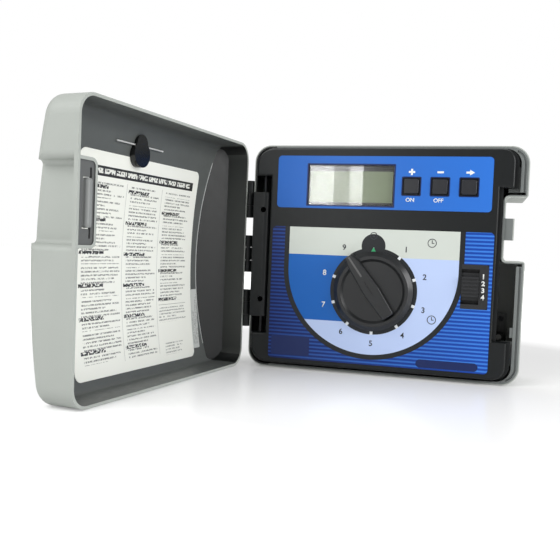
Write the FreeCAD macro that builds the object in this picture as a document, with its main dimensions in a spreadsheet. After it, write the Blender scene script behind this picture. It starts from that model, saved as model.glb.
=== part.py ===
import FreeCAD, Part
import math
import os
import re
from FreeCAD import Placement, Rotation, Vector
import Sketcher

# Irrigation controller: a wall cabinet with a swing-out control module and a domed door on the left.
# Millimetres. X runs to the right, Z up, and the front faces -Y; the wall face is the plane Y = 0.
# A "level" is a distance in front of the wall, so a point at level 20 lies at Y = -20.

doc = FreeCAD.newDocument("irrigation_controller")
sheet = doc.addObject("Spreadsheet::Sheet", "sizes")

SIZES = {
    # cabinet
    "cabinet_width": 287, "cabinet_height": 242, "cabinet_depth": 75, "corner_radius": 18,
    "wall": 2.6, "back_wall": 3, "gap": 0.3, "run_gap": 0.05,
    "notch_depth": 21, "notch_low": 5.5, "notch_high": 69.5, "notch_corner": 4,
    "groove_width": 2, "groove_depth": 2, "lip_width": 3, "ledge_drop": 5.4, "ledge_thick": 3,
    "rim_edge": 0.4, "rim_reach": 26, "groove_reach": 12.5,
    "well_low": -76.5, "strike_reach": 9, "strike_length": 22, "strike_thick": 6,
    "wall_hole_radius": 2.6, "wall_hole_spread": 220, "wall_hole_low": -20, "wall_hole_high": 103,
    "power_hole_inset": 23, "power_hole_radius": 11.1, "field_hole_x": 40, "field_hole_radius": 17,
    "conduit_y": 30, "collar_wall": 3, "collar_length": 5,
    # hinge between door and cabinet
    "hinge_offset": 4.9, "hinge_drop": 0.8, "pin_radius": 2.2, "barrel_radius": 4.6,
    "hinge_centre_z": 1.8, "hinge_pitch": 60, "knuckle_length": 40.4, "hook_length": 14,
    "door_open_angle": 98,
    # swing-out pivot of the module
    "pivot_inset": 14, "pivot_level": 78, "pivot_radius": 2, "pivot_round": 7.2, "pivot_grip": 11,
    "pivot_grip_out": 8, "strip_end": 67.4, "pocket": 17.6, "strip_depth": 30,
    # door
    "door_top_depth": 33, "door_bottom_depth": 36, "dome_radius": 590, "edge_round": 9,
    "slope_start": 26, "slope_run": 19.5, "slope_rise": 15, "scoop_depth": 11, "scoop_lip": 6,
    "bay_drop": 1.2, "latch_length": 38, "latch_width": 7.4, "latch_nose": 1.8,
    "latch_pin_radius": 1.2,
    # paper and trim inside the door
    "card_hinge_margin": 42.5, "card_free_margin": 48.5, "card_low_margin": 11, "card_high_margin": 35,
    "paper": 0.4, "wiring_label_width": 12, "wiring_label_length": 63, "wiring_label_margin": 19,
    "peg_x": 15, "peg_drop": 31, "peg_radius": 12.3, "peg_depth": 31, "wire_radius": 0.7,
    "wire_length": 74,
    # control module
    "module_side_gap": 5.5, "module_rim_gap": 14.1, "module_top_gap": 4, "module_base_gap": 6,
    "well_gap": 4.5, "module_front": 85.8, "module_back": 70, "module_skin": 2.8,
    "module_wall": 2.4, "flange_reach": 4, "flange_level": 78, "module_corner": 13,
    "ear_level": 73.6, "ear_corner": 18, "boss_inset": 9, "boss_radius": 4, "screw_radius": 1.5,
    # printed panels, screen and keys
    "panel_thick": 0.4, "panel_corner": 4, "upper_side": 7.8, "upper_far_side": 6.8, "upper_top": 8.4,
    "upper_height": 55.2, "panel_spacing": 20.4, "lower_side": 4.3, "lower_far_side": 2.8,
    "lower_base": 5.6, "label_side": 19.1, "label_gap": 3, "label_base": 10.7,
    "screen_width": 90.6, "screen_height": 42.1, "screen_gap": 9, "screen_rise": 3.7,
    "key_pitch": 28.75, "key_margin": 22.9, "key_rise": 24.6, "key_well": 18, "key_size": 15,
    "key_proud": 2.4, "key_travel": 1, "key_flange": 1.2, "key_flange_thick": 1.6,
    # dial and slider
    "dial_side": 3.1, "dial_drop": 22.1, "knob_radius": 41.4, "knob_face_radius": 31,
    "knob_bevel": 4.6, "grip_width": 15, "grip_height": 9, "grip_reach": 44, "grip_tail": 31,
    "pointer_angle": 126, "shaft_radius": 3, "hub_radius": 7, "dial_gap": 0.4, "skirt_height": 2,
    "slider_inset": 23.9, "slider_drop": 55, "slider_window_width": 17.6, "slider_window_length": 35.6,
    "slider_length": 20, "slider_proud": 4.2, "slider_patch_width": 26.6,
    "slider_patch_length": 45.2, "slider_ribs": 6,
    # main board, rear cover and battery
    "board_level": 73.2, "board_thick": 1.6, "board_side": 11.7, "board_far_side": 7.4,
    "board_margin": 13, "board_corner": 7, "cover_side": 2.7,
    "cover_thick": 2.4, "cover_box_depth": 18, "cover_inset": 16,
    "battery_side": 57, "battery_drop": 77,
    "battery_width": 48.5, "battery_height": 26.5, "battery_thick": 15.5,
    # power and field wiring inside the cabinet
    "core_width": 54, "core_height": 46, "core_thick": 20, "core_rise": 30,
    "coil_overhang": 6, "core_level": 12, "bracket_thick": 1.5, "foot_reach": 12,
    "station_board_width": 136, "station_board_height": 44, "station_margin": 12, "station_rise": 47,
    "station_level": 12, "station_count": 13, "station_pitch": 10, "station_depth": 12, "station_height": 14,
    "shield_gap": 1.3, "shield_width": 84, "shield_margin": 11, "shield_height": 77, "shield_level": 43,
    "socket_length": 30, "socket_width": 8, "socket_height": 8, "socket_side": 59, "socket_rise": 55,
    "power_block_width": 34, "power_block_height": 12, "power_block_depth": 15, "power_pitch": 10.5,
}

# Places that follow from the sizes: each name stands for its expression wherever it is used.
PLACES = {
    "half_width": "cabinet_width / 2", "half_height": "cabinet_height / 2",
    "pivot_x": "-half_width + pivot_inset",
    "strip_right": "pivot_x + pivot_round",
    # control module
    "module_left": "-half_width + module_side_gap", "module_right": "half_width - module_rim_gap",
    "module_top": "half_height - module_top_gap", "module_bottom": "-half_height + module_base_gap",
    "main_left": "strip_right + gap * 2",
    "module_notch_x": "half_width - notch_depth - wall - well_gap",
    # printed panels, from the module's edges inwards
    "upper_left": "main_left + upper_side", "upper_right": "module_notch_x - upper_far_side",
    "upper_high": "module_top - upper_top", "upper_low": "upper_high - upper_height",
    "lower_left": "main_left + lower_side", "lower_right": "module_notch_x - lower_far_side",
    "lower_low": "module_bottom + lower_base", "lower_high": "upper_low - panel_spacing",
    # keys from the right, then the screen beside them
    "key_first_x": "upper_right - key_margin - key_pitch * 2", "key_z": "upper_low + key_rise",
    "screen_right": "key_first_x - key_well / 2 - screen_gap", "screen_left": "screen_right - screen_width",
    "screen_low": "upper_low + screen_rise", "screen_high": "screen_low + screen_height",
    # slider from the right, then the dial label beside it and the dial on the label
    "slider_x": "module_notch_x - slider_inset", "slider_z": "lower_high - slider_drop",
    "label_right": "slider_x - slider_window_width / 2 - label_gap", "label_left": "lower_left + label_side",
    "label_radius": "(label_right - label_left) / 2", "label_x": "(label_left + label_right) / 2",
    "label_z": "lower_low + label_base + label_radius",
    "dial_x": "label_x + dial_side", "dial_z": "label_z - dial_drop",
    # behind the module's face
    "board_left": "main_left + board_side", "board_right": "module_notch_x - board_far_side",
    "board_low": "module_bottom + board_margin", "board_high": "module_top - board_margin",
    "cover_left": "main_left + cover_side",
    "battery_x": "cover_left + battery_side", "battery_z": "module_top - battery_drop",
    "socket_x": "cover_left + socket_side", "socket_z": "module_bottom + socket_rise",
    # inside the door
    "card_left": "-half_width + card_hinge_margin", "card_right": "half_width - card_free_margin",
    "card_low": "-half_height + card_low_margin", "card_high": "half_height - card_high_margin",
    "wiring_label_low": "-half_height + wiring_label_margin", "peg_z": "half_height - peg_drop",
    # power wiring beside the hinge strip, field wiring from the right
    "shield_left": "strip_right + shield_gap", "shield_right": "shield_left + shield_width",
    "shield_low": "-half_height + shield_margin", "shield_high": "shield_low + shield_height",
    "core_x": "(shield_left + shield_right) / 2", "core_z": "shield_low + core_rise",
    "power_hole_x": "shield_left + power_hole_inset",
    "station_x": "half_width - station_margin - station_board_width / 2",
    "station_z": "-half_height + station_rise",
}

for row, (alias, value) in enumerate(SIZES.items(), start=1):
    sheet.set(f"A{row}", alias)
    sheet.set(f"B{row}", str(value))
    sheet.setAlias(f"B{row}", alias)
doc.recompute()

WORD = re.compile(r"[a-z_]+[a-z0-9_]*")


def spelled(text):
    """The expression with every named place written out in terms of the sizes."""
    def in_full(word):
        return f"({spelled(PLACES[word.group(0)])})" if word.group(0) in PLACES else word.group(0)
    return WORD.sub(in_full, str(text))


def linked(text):
    """The expression with every size name written as a reference to the sheet."""
    def full_name(word):
        return "sizes." + word.group(0) if word.group(0) in SIZES else word.group(0)
    return WORD.sub(full_name, spelled(text))


def number(text):
    """The present value of an expression."""
    return float(sheet.evalExpression(spelled(text)))


def bind(item, field, text):
    item.setExpression(field, linked(text))


def sub(text, *others):
    """Expression arithmetic: text minus the others, each in brackets."""
    return f"({text})" + "".join(f" - ({other})" for other in others)


# ---------------------------------------------------------------- sketches and bodies

PLANES = {"front": "XZ_Plane", "top": "XY_Plane", "side": "YZ_Plane"}


class Loop:
    """A closed outline: straight sides between corner points given as pairs of expressions."""

    def __init__(self, *corners):
        self.corners = corners

    def draw(self, sketch):
        points = [Vector(number(x), number(y), 0) for x, y in self.corners]
        count = len(points)
        first = len(sketch.Geometry)
        for i, start in enumerate(points):
            sketch.addGeometry(Part.LineSegment(start, points[(i + 1) % count]), False)
        for i in range(count):
            here, after = first + i, first + (i + 1) % count
            sketch.addConstraint(Sketcher.Constraint("Coincident", here, 2, after, 1))
        for i, (x, y) in enumerate(self.corners):
            across = sketch.addConstraint(Sketcher.Constraint("DistanceX", -1, 1, first + i, 1, points[i].x))
            bind(sketch, f"Constraints[{across}]", x)
            up = sketch.addConstraint(Sketcher.Constraint("DistanceY", -1, 1, first + i, 1, points[i].y))
            bind(sketch, f"Constraints[{up}]", y)


class Ring:
    """A circle given by its centre and radius."""

    def __init__(self, x, y, radius):
        self.x, self.y, self.radius = x, y, radius

    def draw(self, sketch):
        index = len(sketch.Geometry)
        centre = Vector(number(self.x), number(self.y), 0)
        sketch.addGeometry(Part.Circle(centre, Vector(0, 0, 1), number(self.radius)), False)
        across = sketch.addConstraint(Sketcher.Constraint("DistanceX", -1, 1, index, 3, centre.x))
        bind(sketch, f"Constraints[{across}]", self.x)
        up = sketch.addConstraint(Sketcher.Constraint("DistanceY", -1, 1, index, 3, centre.y))
        bind(sketch, f"Constraints[{up}]", self.y)
        wide = sketch.addConstraint(Sketcher.Constraint("Radius", index, number(self.radius)))
        bind(sketch, f"Constraints[{wide}]", self.radius)


def box_loop(left, right, low, high):
    return Loop((left, low), (right, low), (right, high), (left, high))


class SoftLoop:
    """A closed outline of level and upright sides: each corner has its place and its radius."""

    def __init__(self, *corners):
        self.corners = corners

    def draw(self, sketch):
        count = len(self.corners)
        places = [Vector(number(x), number(y), 0) for x, y, _ in self.corners]
        stops, starts = [], []
        for i, (x, y, radius) in enumerate(self.corners):
            for ends, beside in ((stops, places[i - 1]), (starts, places[(i + 1) % count])):
                way = (beside - places[i]).normalize()
                ends.append((f"{x} + {way.x:.0f} * ({radius})", f"{y} + {way.y:.0f} * ({radius})"))
        first = len(sketch.Geometry)
        for i in range(count):
            side = [Vector(number(x), number(y), 0) for x, y in (starts[i], stops[(i + 1) % count])]
            sketch.addGeometry(Part.LineSegment(*side), False)
        for i, (_, _, radius) in enumerate(self.corners):
            before, after = first + (i - 1) % count, first + i
            self.pin(sketch, after, 1, starts[i])
            if number(radius) > 0:
                self.pin(sketch, before, 2, stops[i])
                self.bend(sketch, i, before, after, places)
            else:
                sketch.addConstraint(Sketcher.Constraint("Coincident", before, 2, after, 1))

    def pin(self, sketch, side, end, place):
        """Ties one end of a side to its place."""
        for way, text in zip(("DistanceX", "DistanceY"), place):
            index = sketch.addConstraint(Sketcher.Constraint(way, -1, 1, side, end, number(text)))
            bind(sketch, f"Constraints[{index}]", text)

    def bend(self, sketch, corner, before, after, places):
        """Joins two sides with an arc."""
        text = self.corners[corner][2]
        radius = number(text)
        start, end = sketch.Geometry[before].EndPoint, sketch.Geometry[after].StartPoint
        centre = start + end - places[corner]
        bulge = centre + (places[corner] - centre).normalize() * radius
        turns_left = (start - centre).cross(end - centre).z > 0
        ends = (start, end) if turns_left else (end, start)
        arc = sketch.addGeometry(Part.Arc(ends[0], bulge, ends[1]), False)
        near_start, near_end = (1, 2) if turns_left else (2, 1)
        sketch.addConstraint(Sketcher.Constraint("Coincident", before, 2, arc, near_start))
        sketch.addConstraint(Sketcher.Constraint("Coincident", arc, near_end, after, 1))
        wide = sketch.addConstraint(Sketcher.Constraint("Radius", arc, radius))
        bind(sketch, f"Constraints[{wide}]", text)


def round_box(left, right, low, high, radius):
    return SoftLoop((left, low, radius), (right, low, radius), (right, high, radius), (left, high, radius))


def inset_box(inset):
    """The cabinet's front outline, pulled in on every side."""
    return round_box(f"-({HALF_W}) + ({inset})", f"{HALF_W} - ({inset})",
                     f"-({HALF_H}) + ({inset})", f"{HALF_H} - ({inset})", f"corner_radius - ({inset})")


class Piece:
    """One PartDesign body, built feature by feature."""

    def __init__(self, label):
        self.body = doc.addObject("PartDesign::Body", label)
        self.body.Label = label
        self.label = label
        self.count = 0

    def name(self, kind):
        self.count += 1
        return f"{self.label}_{kind}_{self.count}"

    def sketch(self, plane, level, loops):
        sketch = self.body.newObject("Sketcher::SketchObject", self.name("sketch"))
        role = PLANES[plane]
        origin_plane = [item for item in self.body.Origin.OriginFeatures if item.Role == role][0]
        sketch.AttachmentSupport = [(origin_plane, "")]
        sketch.MapMode = "FlatFace"
        bind(sketch, "AttachmentOffset.Base.z", level)
        for loop in loops:
            loop.draw(sketch)
        sketch.Visibility = False
        return sketch

    def pad(self, plane, level, length, *loops):
        """Material from the level on along the plane's normal: front -Y, top +Z, side +X."""
        feature = self.body.newObject("PartDesign::Pad", self.name("pad"))
        feature.Profile = self.sketch(plane, level, loops)
        bind(feature, "Length", length)
        self.body.Tip = feature
        return feature

    def cut(self, plane, level, length, *loops):
        """A recess that starts at the level and runs along the plane's normal."""
        feature = self.body.newObject("PartDesign::Pocket", self.name("pocket"))
        feature.Profile = self.sketch(plane, level, loops)
        feature.Reversed = True
        bind(feature, "Length", length)
        self.body.Tip = feature
        return feature

    def round(self, radius, wanted):
        """A fillet on the edges of the present solid that the test picks."""
        doc.recompute()
        tip = self.body.Tip
        names = [f"Edge{i + 1}" for i, edge in enumerate(tip.Shape.Edges) if wanted(edge)]
        feature = self.body.newObject("PartDesign::Fillet", self.name("fillet"))
        feature.Base = (tip, names)
        bind(feature, "Radius", radius)
        self.body.Tip = feature
        return feature


def runs_along(edge, axis):
    """True for a straight edge parallel to the axis."""
    if not isinstance(edge.Curve, (Part.Line, Part.LineSegment)):
        return False
    start, end = edge.Vertexes[0].Point, edge.Vertexes[-1].Point
    return abs((end - start).normalize().dot(axis)) > 0.999


ALONG_X, ALONG_Y, ALONG_Z = Vector(1, 0, 0), Vector(0, 1, 0), Vector(0, 0, 1)


def near(value, text, slack=0.05):
    return abs(value - number(text)) < slack


def corner_edges(left, right, low, high):
    """Picks the edges along Y at the four corners of a rectangle."""
    def wanted(edge):
        middle = edge.CenterOfMass
        return (runs_along(edge, ALONG_Y) and (near(middle.x, left) or near(middle.x, right))
                and (near(middle.z, low) or near(middle.z, high)))
    return wanted


# ---------------------------------------------------------------- simple solids

def block(label, left, right, rear, front, low, high):
    """A box between two X values, two levels and two Z values."""
    item = doc.addObject("Part::Box", label)
    item.Label = label
    bind(item, "Length", sub(right, left))
    bind(item, "Width", sub(front, rear))
    bind(item, "Height", sub(high, low))
    bind(item, "Placement.Base.x", left)
    bind(item, "Placement.Base.y", f"-({front})")
    bind(item, "Placement.Base.z", low)
    return item


TURN = {"front": Rotation(Vector(1, 0, 0), 90), "up": Rotation(), "right": Rotation(Vector(0, 1, 0), 90)}


def rod(label, direction, radius, length, x, level, z):
    """A cylinder from the point along the direction: front (-Y), up (+Z) or right (+X)."""
    item = doc.addObject("Part::Cylinder", label)
    item.Label = label
    item.Placement = Placement(Vector(0, 0, 0), TURN[direction])
    bind(item, "Radius", radius)
    bind(item, "Height", length)
    bind(item, "Placement.Base.x", x)
    bind(item, "Placement.Base.y", f"-({level})")
    bind(item, "Placement.Base.z", z)
    return item


def cut(label, base, tool):
    item = doc.addObject("Part::Cut", label)
    item.Label = label
    item.Base = base
    item.Tool = tool
    return item


def fuse(label, *items):
    item = doc.addObject("Part::MultiFuse", label)
    item.Label = label
    item.Shapes = list(items)
    item.Refine = True
    return item


def common(label, *items):
    item = doc.addObject("Part::MultiCommon", label)
    item.Label = label
    item.Shapes = list(items)
    return item


def group(label, items):
    item = doc.addObject("Part::Compound", label)
    item.Label = label
    item.Links = list(items)
    return item


NODES = []


def node(item):
    """Marks a finished piece for export."""
    NODES.append(item)
    return item


def drawn(label, plane, level, length, *loops):
    """A plain extrusion of one sketch, outside any body."""
    sketch = doc.addObject("Sketcher::SketchObject", label + "_outline")
    turn = {"front": Rotation(Vector(1, 0, 0), 90), "top": Rotation(),
            "side": Rotation(Vector(1, 1, 1), 120)}[plane]
    sketch.Placement = Placement(Vector(0, 0, 0), turn)
    field, sign = {"front": ("y", "-"), "top": ("z", ""), "side": ("x", "")}[plane]
    bind(sketch, f"Placement.Base.{field}", f"{sign}({level})")
    for loop in loops:
        loop.draw(sketch)
    item = doc.addObject("Part::Extrusion", label)
    item.Label = label
    item.Base = sketch
    item.DirMode = "Normal"
    item.Solid = True
    bind(item, "LengthFwd", length)
    return item


def screws(label, places, radius, length, head_radius, head_height):
    """Pan-head screws with a cross recess, heads to the front; each place is the seat of a head."""
    items = []
    for index, (x, level, z) in enumerate(places, start=1):
        stem = f"{label}_{index}"
        shank = rod(stem + "_shank", "front", radius, length, x, f"({level}) - ({length})", z)
        head = rod(stem + "_head", "front", head_radius, head_height, x, level, z)
        slots = []
        for arm, (wide, high) in enumerate(((0.6, 0.14), (0.14, 0.6)), start=1):
            slots.append(block(f"{stem}_slot_{arm}", f"({x}) - ({head_radius}) * {wide}",
                               f"({x}) + ({head_radius}) * {wide}",
                               f"({level}) + ({head_height}) * 0.4", f"({level}) + ({head_height}) + 1",
                               f"({z}) - ({head_radius}) * {high}", f"({z}) + ({head_radius}) * {high}"))
        items.append(cut(stem, fuse(stem + "_blank", shank, head), fuse(stem + "_recess", *slots)))
    return node(group(label, items))


# ---------------------------------------------------------------- cabinet

HALF_W, HALF_H = "half_width", "half_height"
INNER_W, INNER_H = "half_width - wall", "half_height - wall"
NOTCH_X = "half_width - notch_depth"
HINGE_X = "-half_width - hinge_offset"
HINGE_LEVEL = "cabinet_depth - hinge_drop"
STATIONS = ["hinge_centre_z - hinge_pitch", "hinge_centre_z", "hinge_centre_z + hinge_pitch"]
LEDGE_LEVEL = "cabinet_depth - ledge_drop"
RIM_INNER = "half_width - lip_width * 2 - groove_width"


def notch_loop(grow, right):
    """The hand notch in the right side, widened by the given amount: its two inner corners are round."""
    return SoftLoop((f"{NOTCH_X} - ({grow})", f"notch_low - ({grow})", f"notch_corner + ({grow})"),
                    (right, f"notch_low - ({grow})", "0"), (right, f"notch_high + ({grow})", "0"),
                    (f"{NOTCH_X} - ({grow})", f"notch_high + ({grow})", f"notch_corner + ({grow})"))


WALL_HOLES = [(f"{side} * wall_hole_spread / 2", z) for side in (-1, 1)
              for z in ("wall_hole_low", "wall_hole_high")]


def grooved_rim():
    """The rim on the right: a band inside the outline that thins out round both corners, and its groove."""
    rear, depth = "cabinet_depth - ledge_drop - ledge_thick", "ledge_drop + ledge_thick"
    side = f"{HALF_W} - rim_reach"
    band = cut("rim_band", drawn("rim_outer", "front", rear, depth, inset_box("wall / 2")),
               drawn("rim_inner", "front", f"{rear} - 1", f"{depth} + 2",
                     round_box(f"-({HALF_W})", RIM_INNER, f"-({INNER_H}) + rim_edge",
                               f"{INNER_H} - rim_edge", "module_corner + 2")))
    groove = cut("groove_band",
                 drawn("groove_outer", "front", "cabinet_depth - groove_depth", "groove_depth + 1",
                       inset_box("lip_width")),
                 drawn("groove_inner", "front", "cabinet_depth - groove_depth - 1", "groove_depth + 3",
                       inset_box("lip_width + groove_width")))
    bands, grooves = [], []
    for index, (low, high) in enumerate(((f"-({HALF_H})", "notch_low - wall * 2"),
                                         ("notch_high + wall * 2", HALF_H)), start=1):
        bands.append(common(f"rim_part_{index}", band,
                            block(f"rim_field_{index}", side, HALF_W, rear, "cabinet_depth", low, high)))
        grooves.append(common(f"groove_part_{index}", groove,
                              block(f"groove_field_{index}", f"{HALF_W} - groove_reach", HALF_W,
                                    rear, "cabinet_depth + 1", low, high)))
    return bands, grooves


def make_cabinet():
    shell = Piece("cabinet_shell")
    shell.pad("front", "0", "cabinet_depth", inset_box("0"))
    shell.cut("front", "back_wall", "cabinet_depth", inset_box("wall"))
    # the wall round the hand notch, which is open from front to back
    shell.pad("front", "back_wall / 2", "cabinet_depth - back_wall / 2",
              notch_loop("wall", f"{HALF_W} - wall / 2"))
    shell.cut("front", "-1", "cabinet_depth + 2", notch_loop("0", f"{HALF_W} + 1"))
    shell.round("wall", notch_outer_edges)
    # the ledge that the module rests on, just inside the grooved rim
    for low, high in ((f"-({INNER_H}) + corner_radius", "well_low"),
                      ("notch_high + wall * 2", f"{INNER_H} - corner_radius")):
        shell.pad("front", f"{LEDGE_LEVEL} - ledge_thick", "ledge_thick",
                  box_loop("module_right - flange_reach - 1", f"{INNER_W} + wall / 2", low, high))
    # strike for the door latch, a nub that the module's edge snaps under, and its twin above
    shell.pad("front", "cabinet_depth - strike_thick - 2.6", "strike_thick",
              box_loop(f"{NOTCH_X} - wall / 2", f"{NOTCH_X} + strike_reach",
                       "(notch_low + notch_high) / 2 - strike_length / 2",
                       "(notch_low + notch_high) / 2 + strike_length / 2"))
    shell.pad("front", "cabinet_depth - 4", "3",
              box_loop(f"{RIM_INNER} - 3", f"{RIM_INNER} + 1", "-72", "-62"))
    # notches in the left rim for the hinge hooks
    for station in STATIONS:
        shell.cut("front", "cabinet_depth - barrel_radius * 2", "barrel_radius * 2 + 1",
                  box_loop(f"-({HALF_W}) - 1", f"-({INNER_W}) + 1",
                           f"{station} - hook_length / 2 - gap", f"{station} + hook_length / 2 + gap"))
    # ribs that carry the hinge strip, bosses for the station board and the power wiring shield
    for end in (-1, 1):
        shell.pad("front", "back_wall / 2", "pivot_level - strip_depth - back_wall / 2",
                  box_loop(f"-({INNER_W}) - wall / 2", "strip_right",
                           f"hinge_centre_z + {end} * strip_end * 0.72 - 3",
                           f"hinge_centre_z + {end} * strip_end * 0.72 + 3"))
    shell.pad("front", "back_wall / 2", "station_level - back_wall / 2",
              *[Ring(x, z, "boss_radius") for x, z in BOARD_CORNERS])
    shell.pad("front", "back_wall / 2", "shield_level - back_wall / 2",
              *[Ring(x, z, "boss_radius") for x, z in SHIELD_POSTS])
    shell.pad("front", "back_wall / 2", "core_level - back_wall / 2",
              *[Ring(x, z, "boss_radius") for x, z in BRACKET_FEET])
    # cable entries through the bottom with an inner collar, and four holes to the wall
    for x, radius in (("power_hole_x", "power_hole_radius"), ("field_hole_x", "field_hole_radius")):
        shell.pad("top", f"-({HALF_H}) + wall / 2", "collar_length - wall / 2",
                  Ring(x, "-conduit_y", f"{radius} + collar_wall"))
        shell.cut("top", f"-({HALF_H}) - 1", "collar_length + 2", Ring(x, "-conduit_y", radius))
    shell.cut("front", "-1", "back_wall + 2", *[Ring(x, z, "wall_hole_radius") for x, z in WALL_HOLES])
    shell.pad("front", "back_wall / 2", "back_wall * 1.5", Ring(GROUND_X, GROUND_Z, "boss_radius"))
    shell.cut("front", "back_wall", "back_wall + 1", Ring(GROUND_X, GROUND_Z, "screw_radius"))
    shell.cut("front", "core_level - 9", "10", *[Ring(x, z, "screw_radius") for x, z in BRACKET_FEET])
    shell.cut("front", "station_level - 9", "10", *[Ring(x, z, "screw_radius") for x, z in BOARD_CORNERS])
    shell.cut("front", "shield_level - 12", "13", *[Ring(x, z, "screw_radius") for x, z in SHIELD_POSTS])
    bands, grooves = grooved_rim()
    node(cut("cabinet_housing", fuse("cabinet_rimmed", shell.body, *bands), fuse("rim_grooves", *grooves)))


def notch_outer_edges(edge):
    """The two outer corners of the hand notch, on the cabinet's side."""
    middle = edge.CenterOfMass
    return (runs_along(edge, ALONG_Y) and near(middle.x, HALF_W)
            and (near(middle.z, "notch_low") or near(middle.z, "notch_high")))


BOARD_CORNERS = [(f"station_x + {i} * (station_board_width / 2 - 6)",
                  f"station_z + {j} * (station_board_height / 2 - 6)") for i in (-1, 1) for j in (-1, 1)]
SHIELD_POSTS = [("shield_left + 8", "shield_high - 8"),
                ("shield_right - 8", "shield_low + 8")]
GROUND_X, GROUND_Z = "shield_right + 12", "shield_high"
BRACKET_FEET = [(f"core_x + {side} * (core_width / 2 + foot_reach / 2)", "core_z + foot_reach")
                for side in (-1, 1)]


def make_hinge_strip():
    """The black strip: screwed to ribs in the cabinet, it hooks the door's pins and carries two pivots."""
    strip = Piece("hinge_strip")
    low, long = "hinge_centre_z - strip_end", "strip_end * 2"
    left = f"-({INNER_W}) + gap"
    front = "-pivot_level - pivot_round"
    strip.pad("top", low, long,
              box_loop(left, "pivot_x + pivot_round", front, "-pivot_level + strip_depth"))
    strip.round("pivot_round - 0.02", lambda edge: runs_along(edge, ALONG_Z)
                and near(edge.CenterOfMass.x, "pivot_x + pivot_round") and near(edge.CenterOfMass.y, front))
    # waist between the hooks, where the strip is thinner
    for side in (-1, 1):
        middle = f"hinge_centre_z + {side} * hinge_pitch / 2"
        strip.cut("top", f"{middle} - hinge_pitch * 0.29", "hinge_pitch * 0.58",
                  Loop((left, "-pivot_level + pivot_round"),
                       ("pivot_x - pivot_radius - 1", "-pivot_level + pivot_round"),
                       ("pivot_x - pivot_radius - 1", "-pivot_level + strip_depth - 4"),
                       (left, "-pivot_level + strip_depth - 4")))
    for station in STATIONS:
        base = f"{station} - hook_length / 2"
        strip.pad("top", base, "hook_length", Ring(HINGE_X, f"-({HINGE_LEVEL})", "barrel_radius"))
        strip.pad("top", base, "hook_length",
                  Loop((HINGE_X, f"-({HINGE_LEVEL})"), (HINGE_X, f"-({HINGE_LEVEL}) + barrel_radius - 0.1"),
                       (f"{left} + 1", f"-({HINGE_LEVEL}) + barrel_radius - 0.1"),
                       (f"{left} + 1", f"-({HINGE_LEVEL}) - hinge_drop / 2")))
        strip.cut("top", f"{base} - 1", "hook_length + 2",
                  Ring(HINGE_X, f"-({HINGE_LEVEL})", "pin_radius + run_gap"))
    for start in ("hinge_centre_z - strip_end - 1", "hinge_centre_z + strip_end - pivot_grip"):
        strip.cut("top", start, "pivot_grip + 1", Ring("pivot_x", "-pivot_level", "pivot_radius"))
    seats = [("pivot_x", f"hinge_centre_z + {end} * strip_end * 0.72") for end in (-1, 1)]
    strip.cut("front", "pivot_level - strip_depth - 1", "strip_depth + pivot_round + 2",
              *[Ring(x, z, "screw_radius") for x, z in seats])
    strip.cut("front", "pivot_level - strip_depth + 6", "strip_depth + pivot_round",
              *[Ring(x, z, "screw_radius * 2") for x, z in seats])
    node(strip.body)
    screws("strip_screws", [(x, "pivot_level - strip_depth + 6", z) for x, z in seats],
           "screw_radius", "screw_radius * 4", "screw_radius * 1.9", "screw_radius * 1.3")
    pins = []
    for index, low in enumerate(("hinge_centre_z - strip_end - pocket - pivot_grip_out",
                                 "hinge_centre_z + strip_end - pivot_grip"), start=1):
        pins.append(rod(f"module_pivot_{index}", "up", "pivot_radius",
                        "pocket + pivot_grip + pivot_grip_out", "pivot_x", "pivot_level", low))
    node(group("module_pivots", pins))


# ---------------------------------------------------------------- power and field wiring

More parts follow.
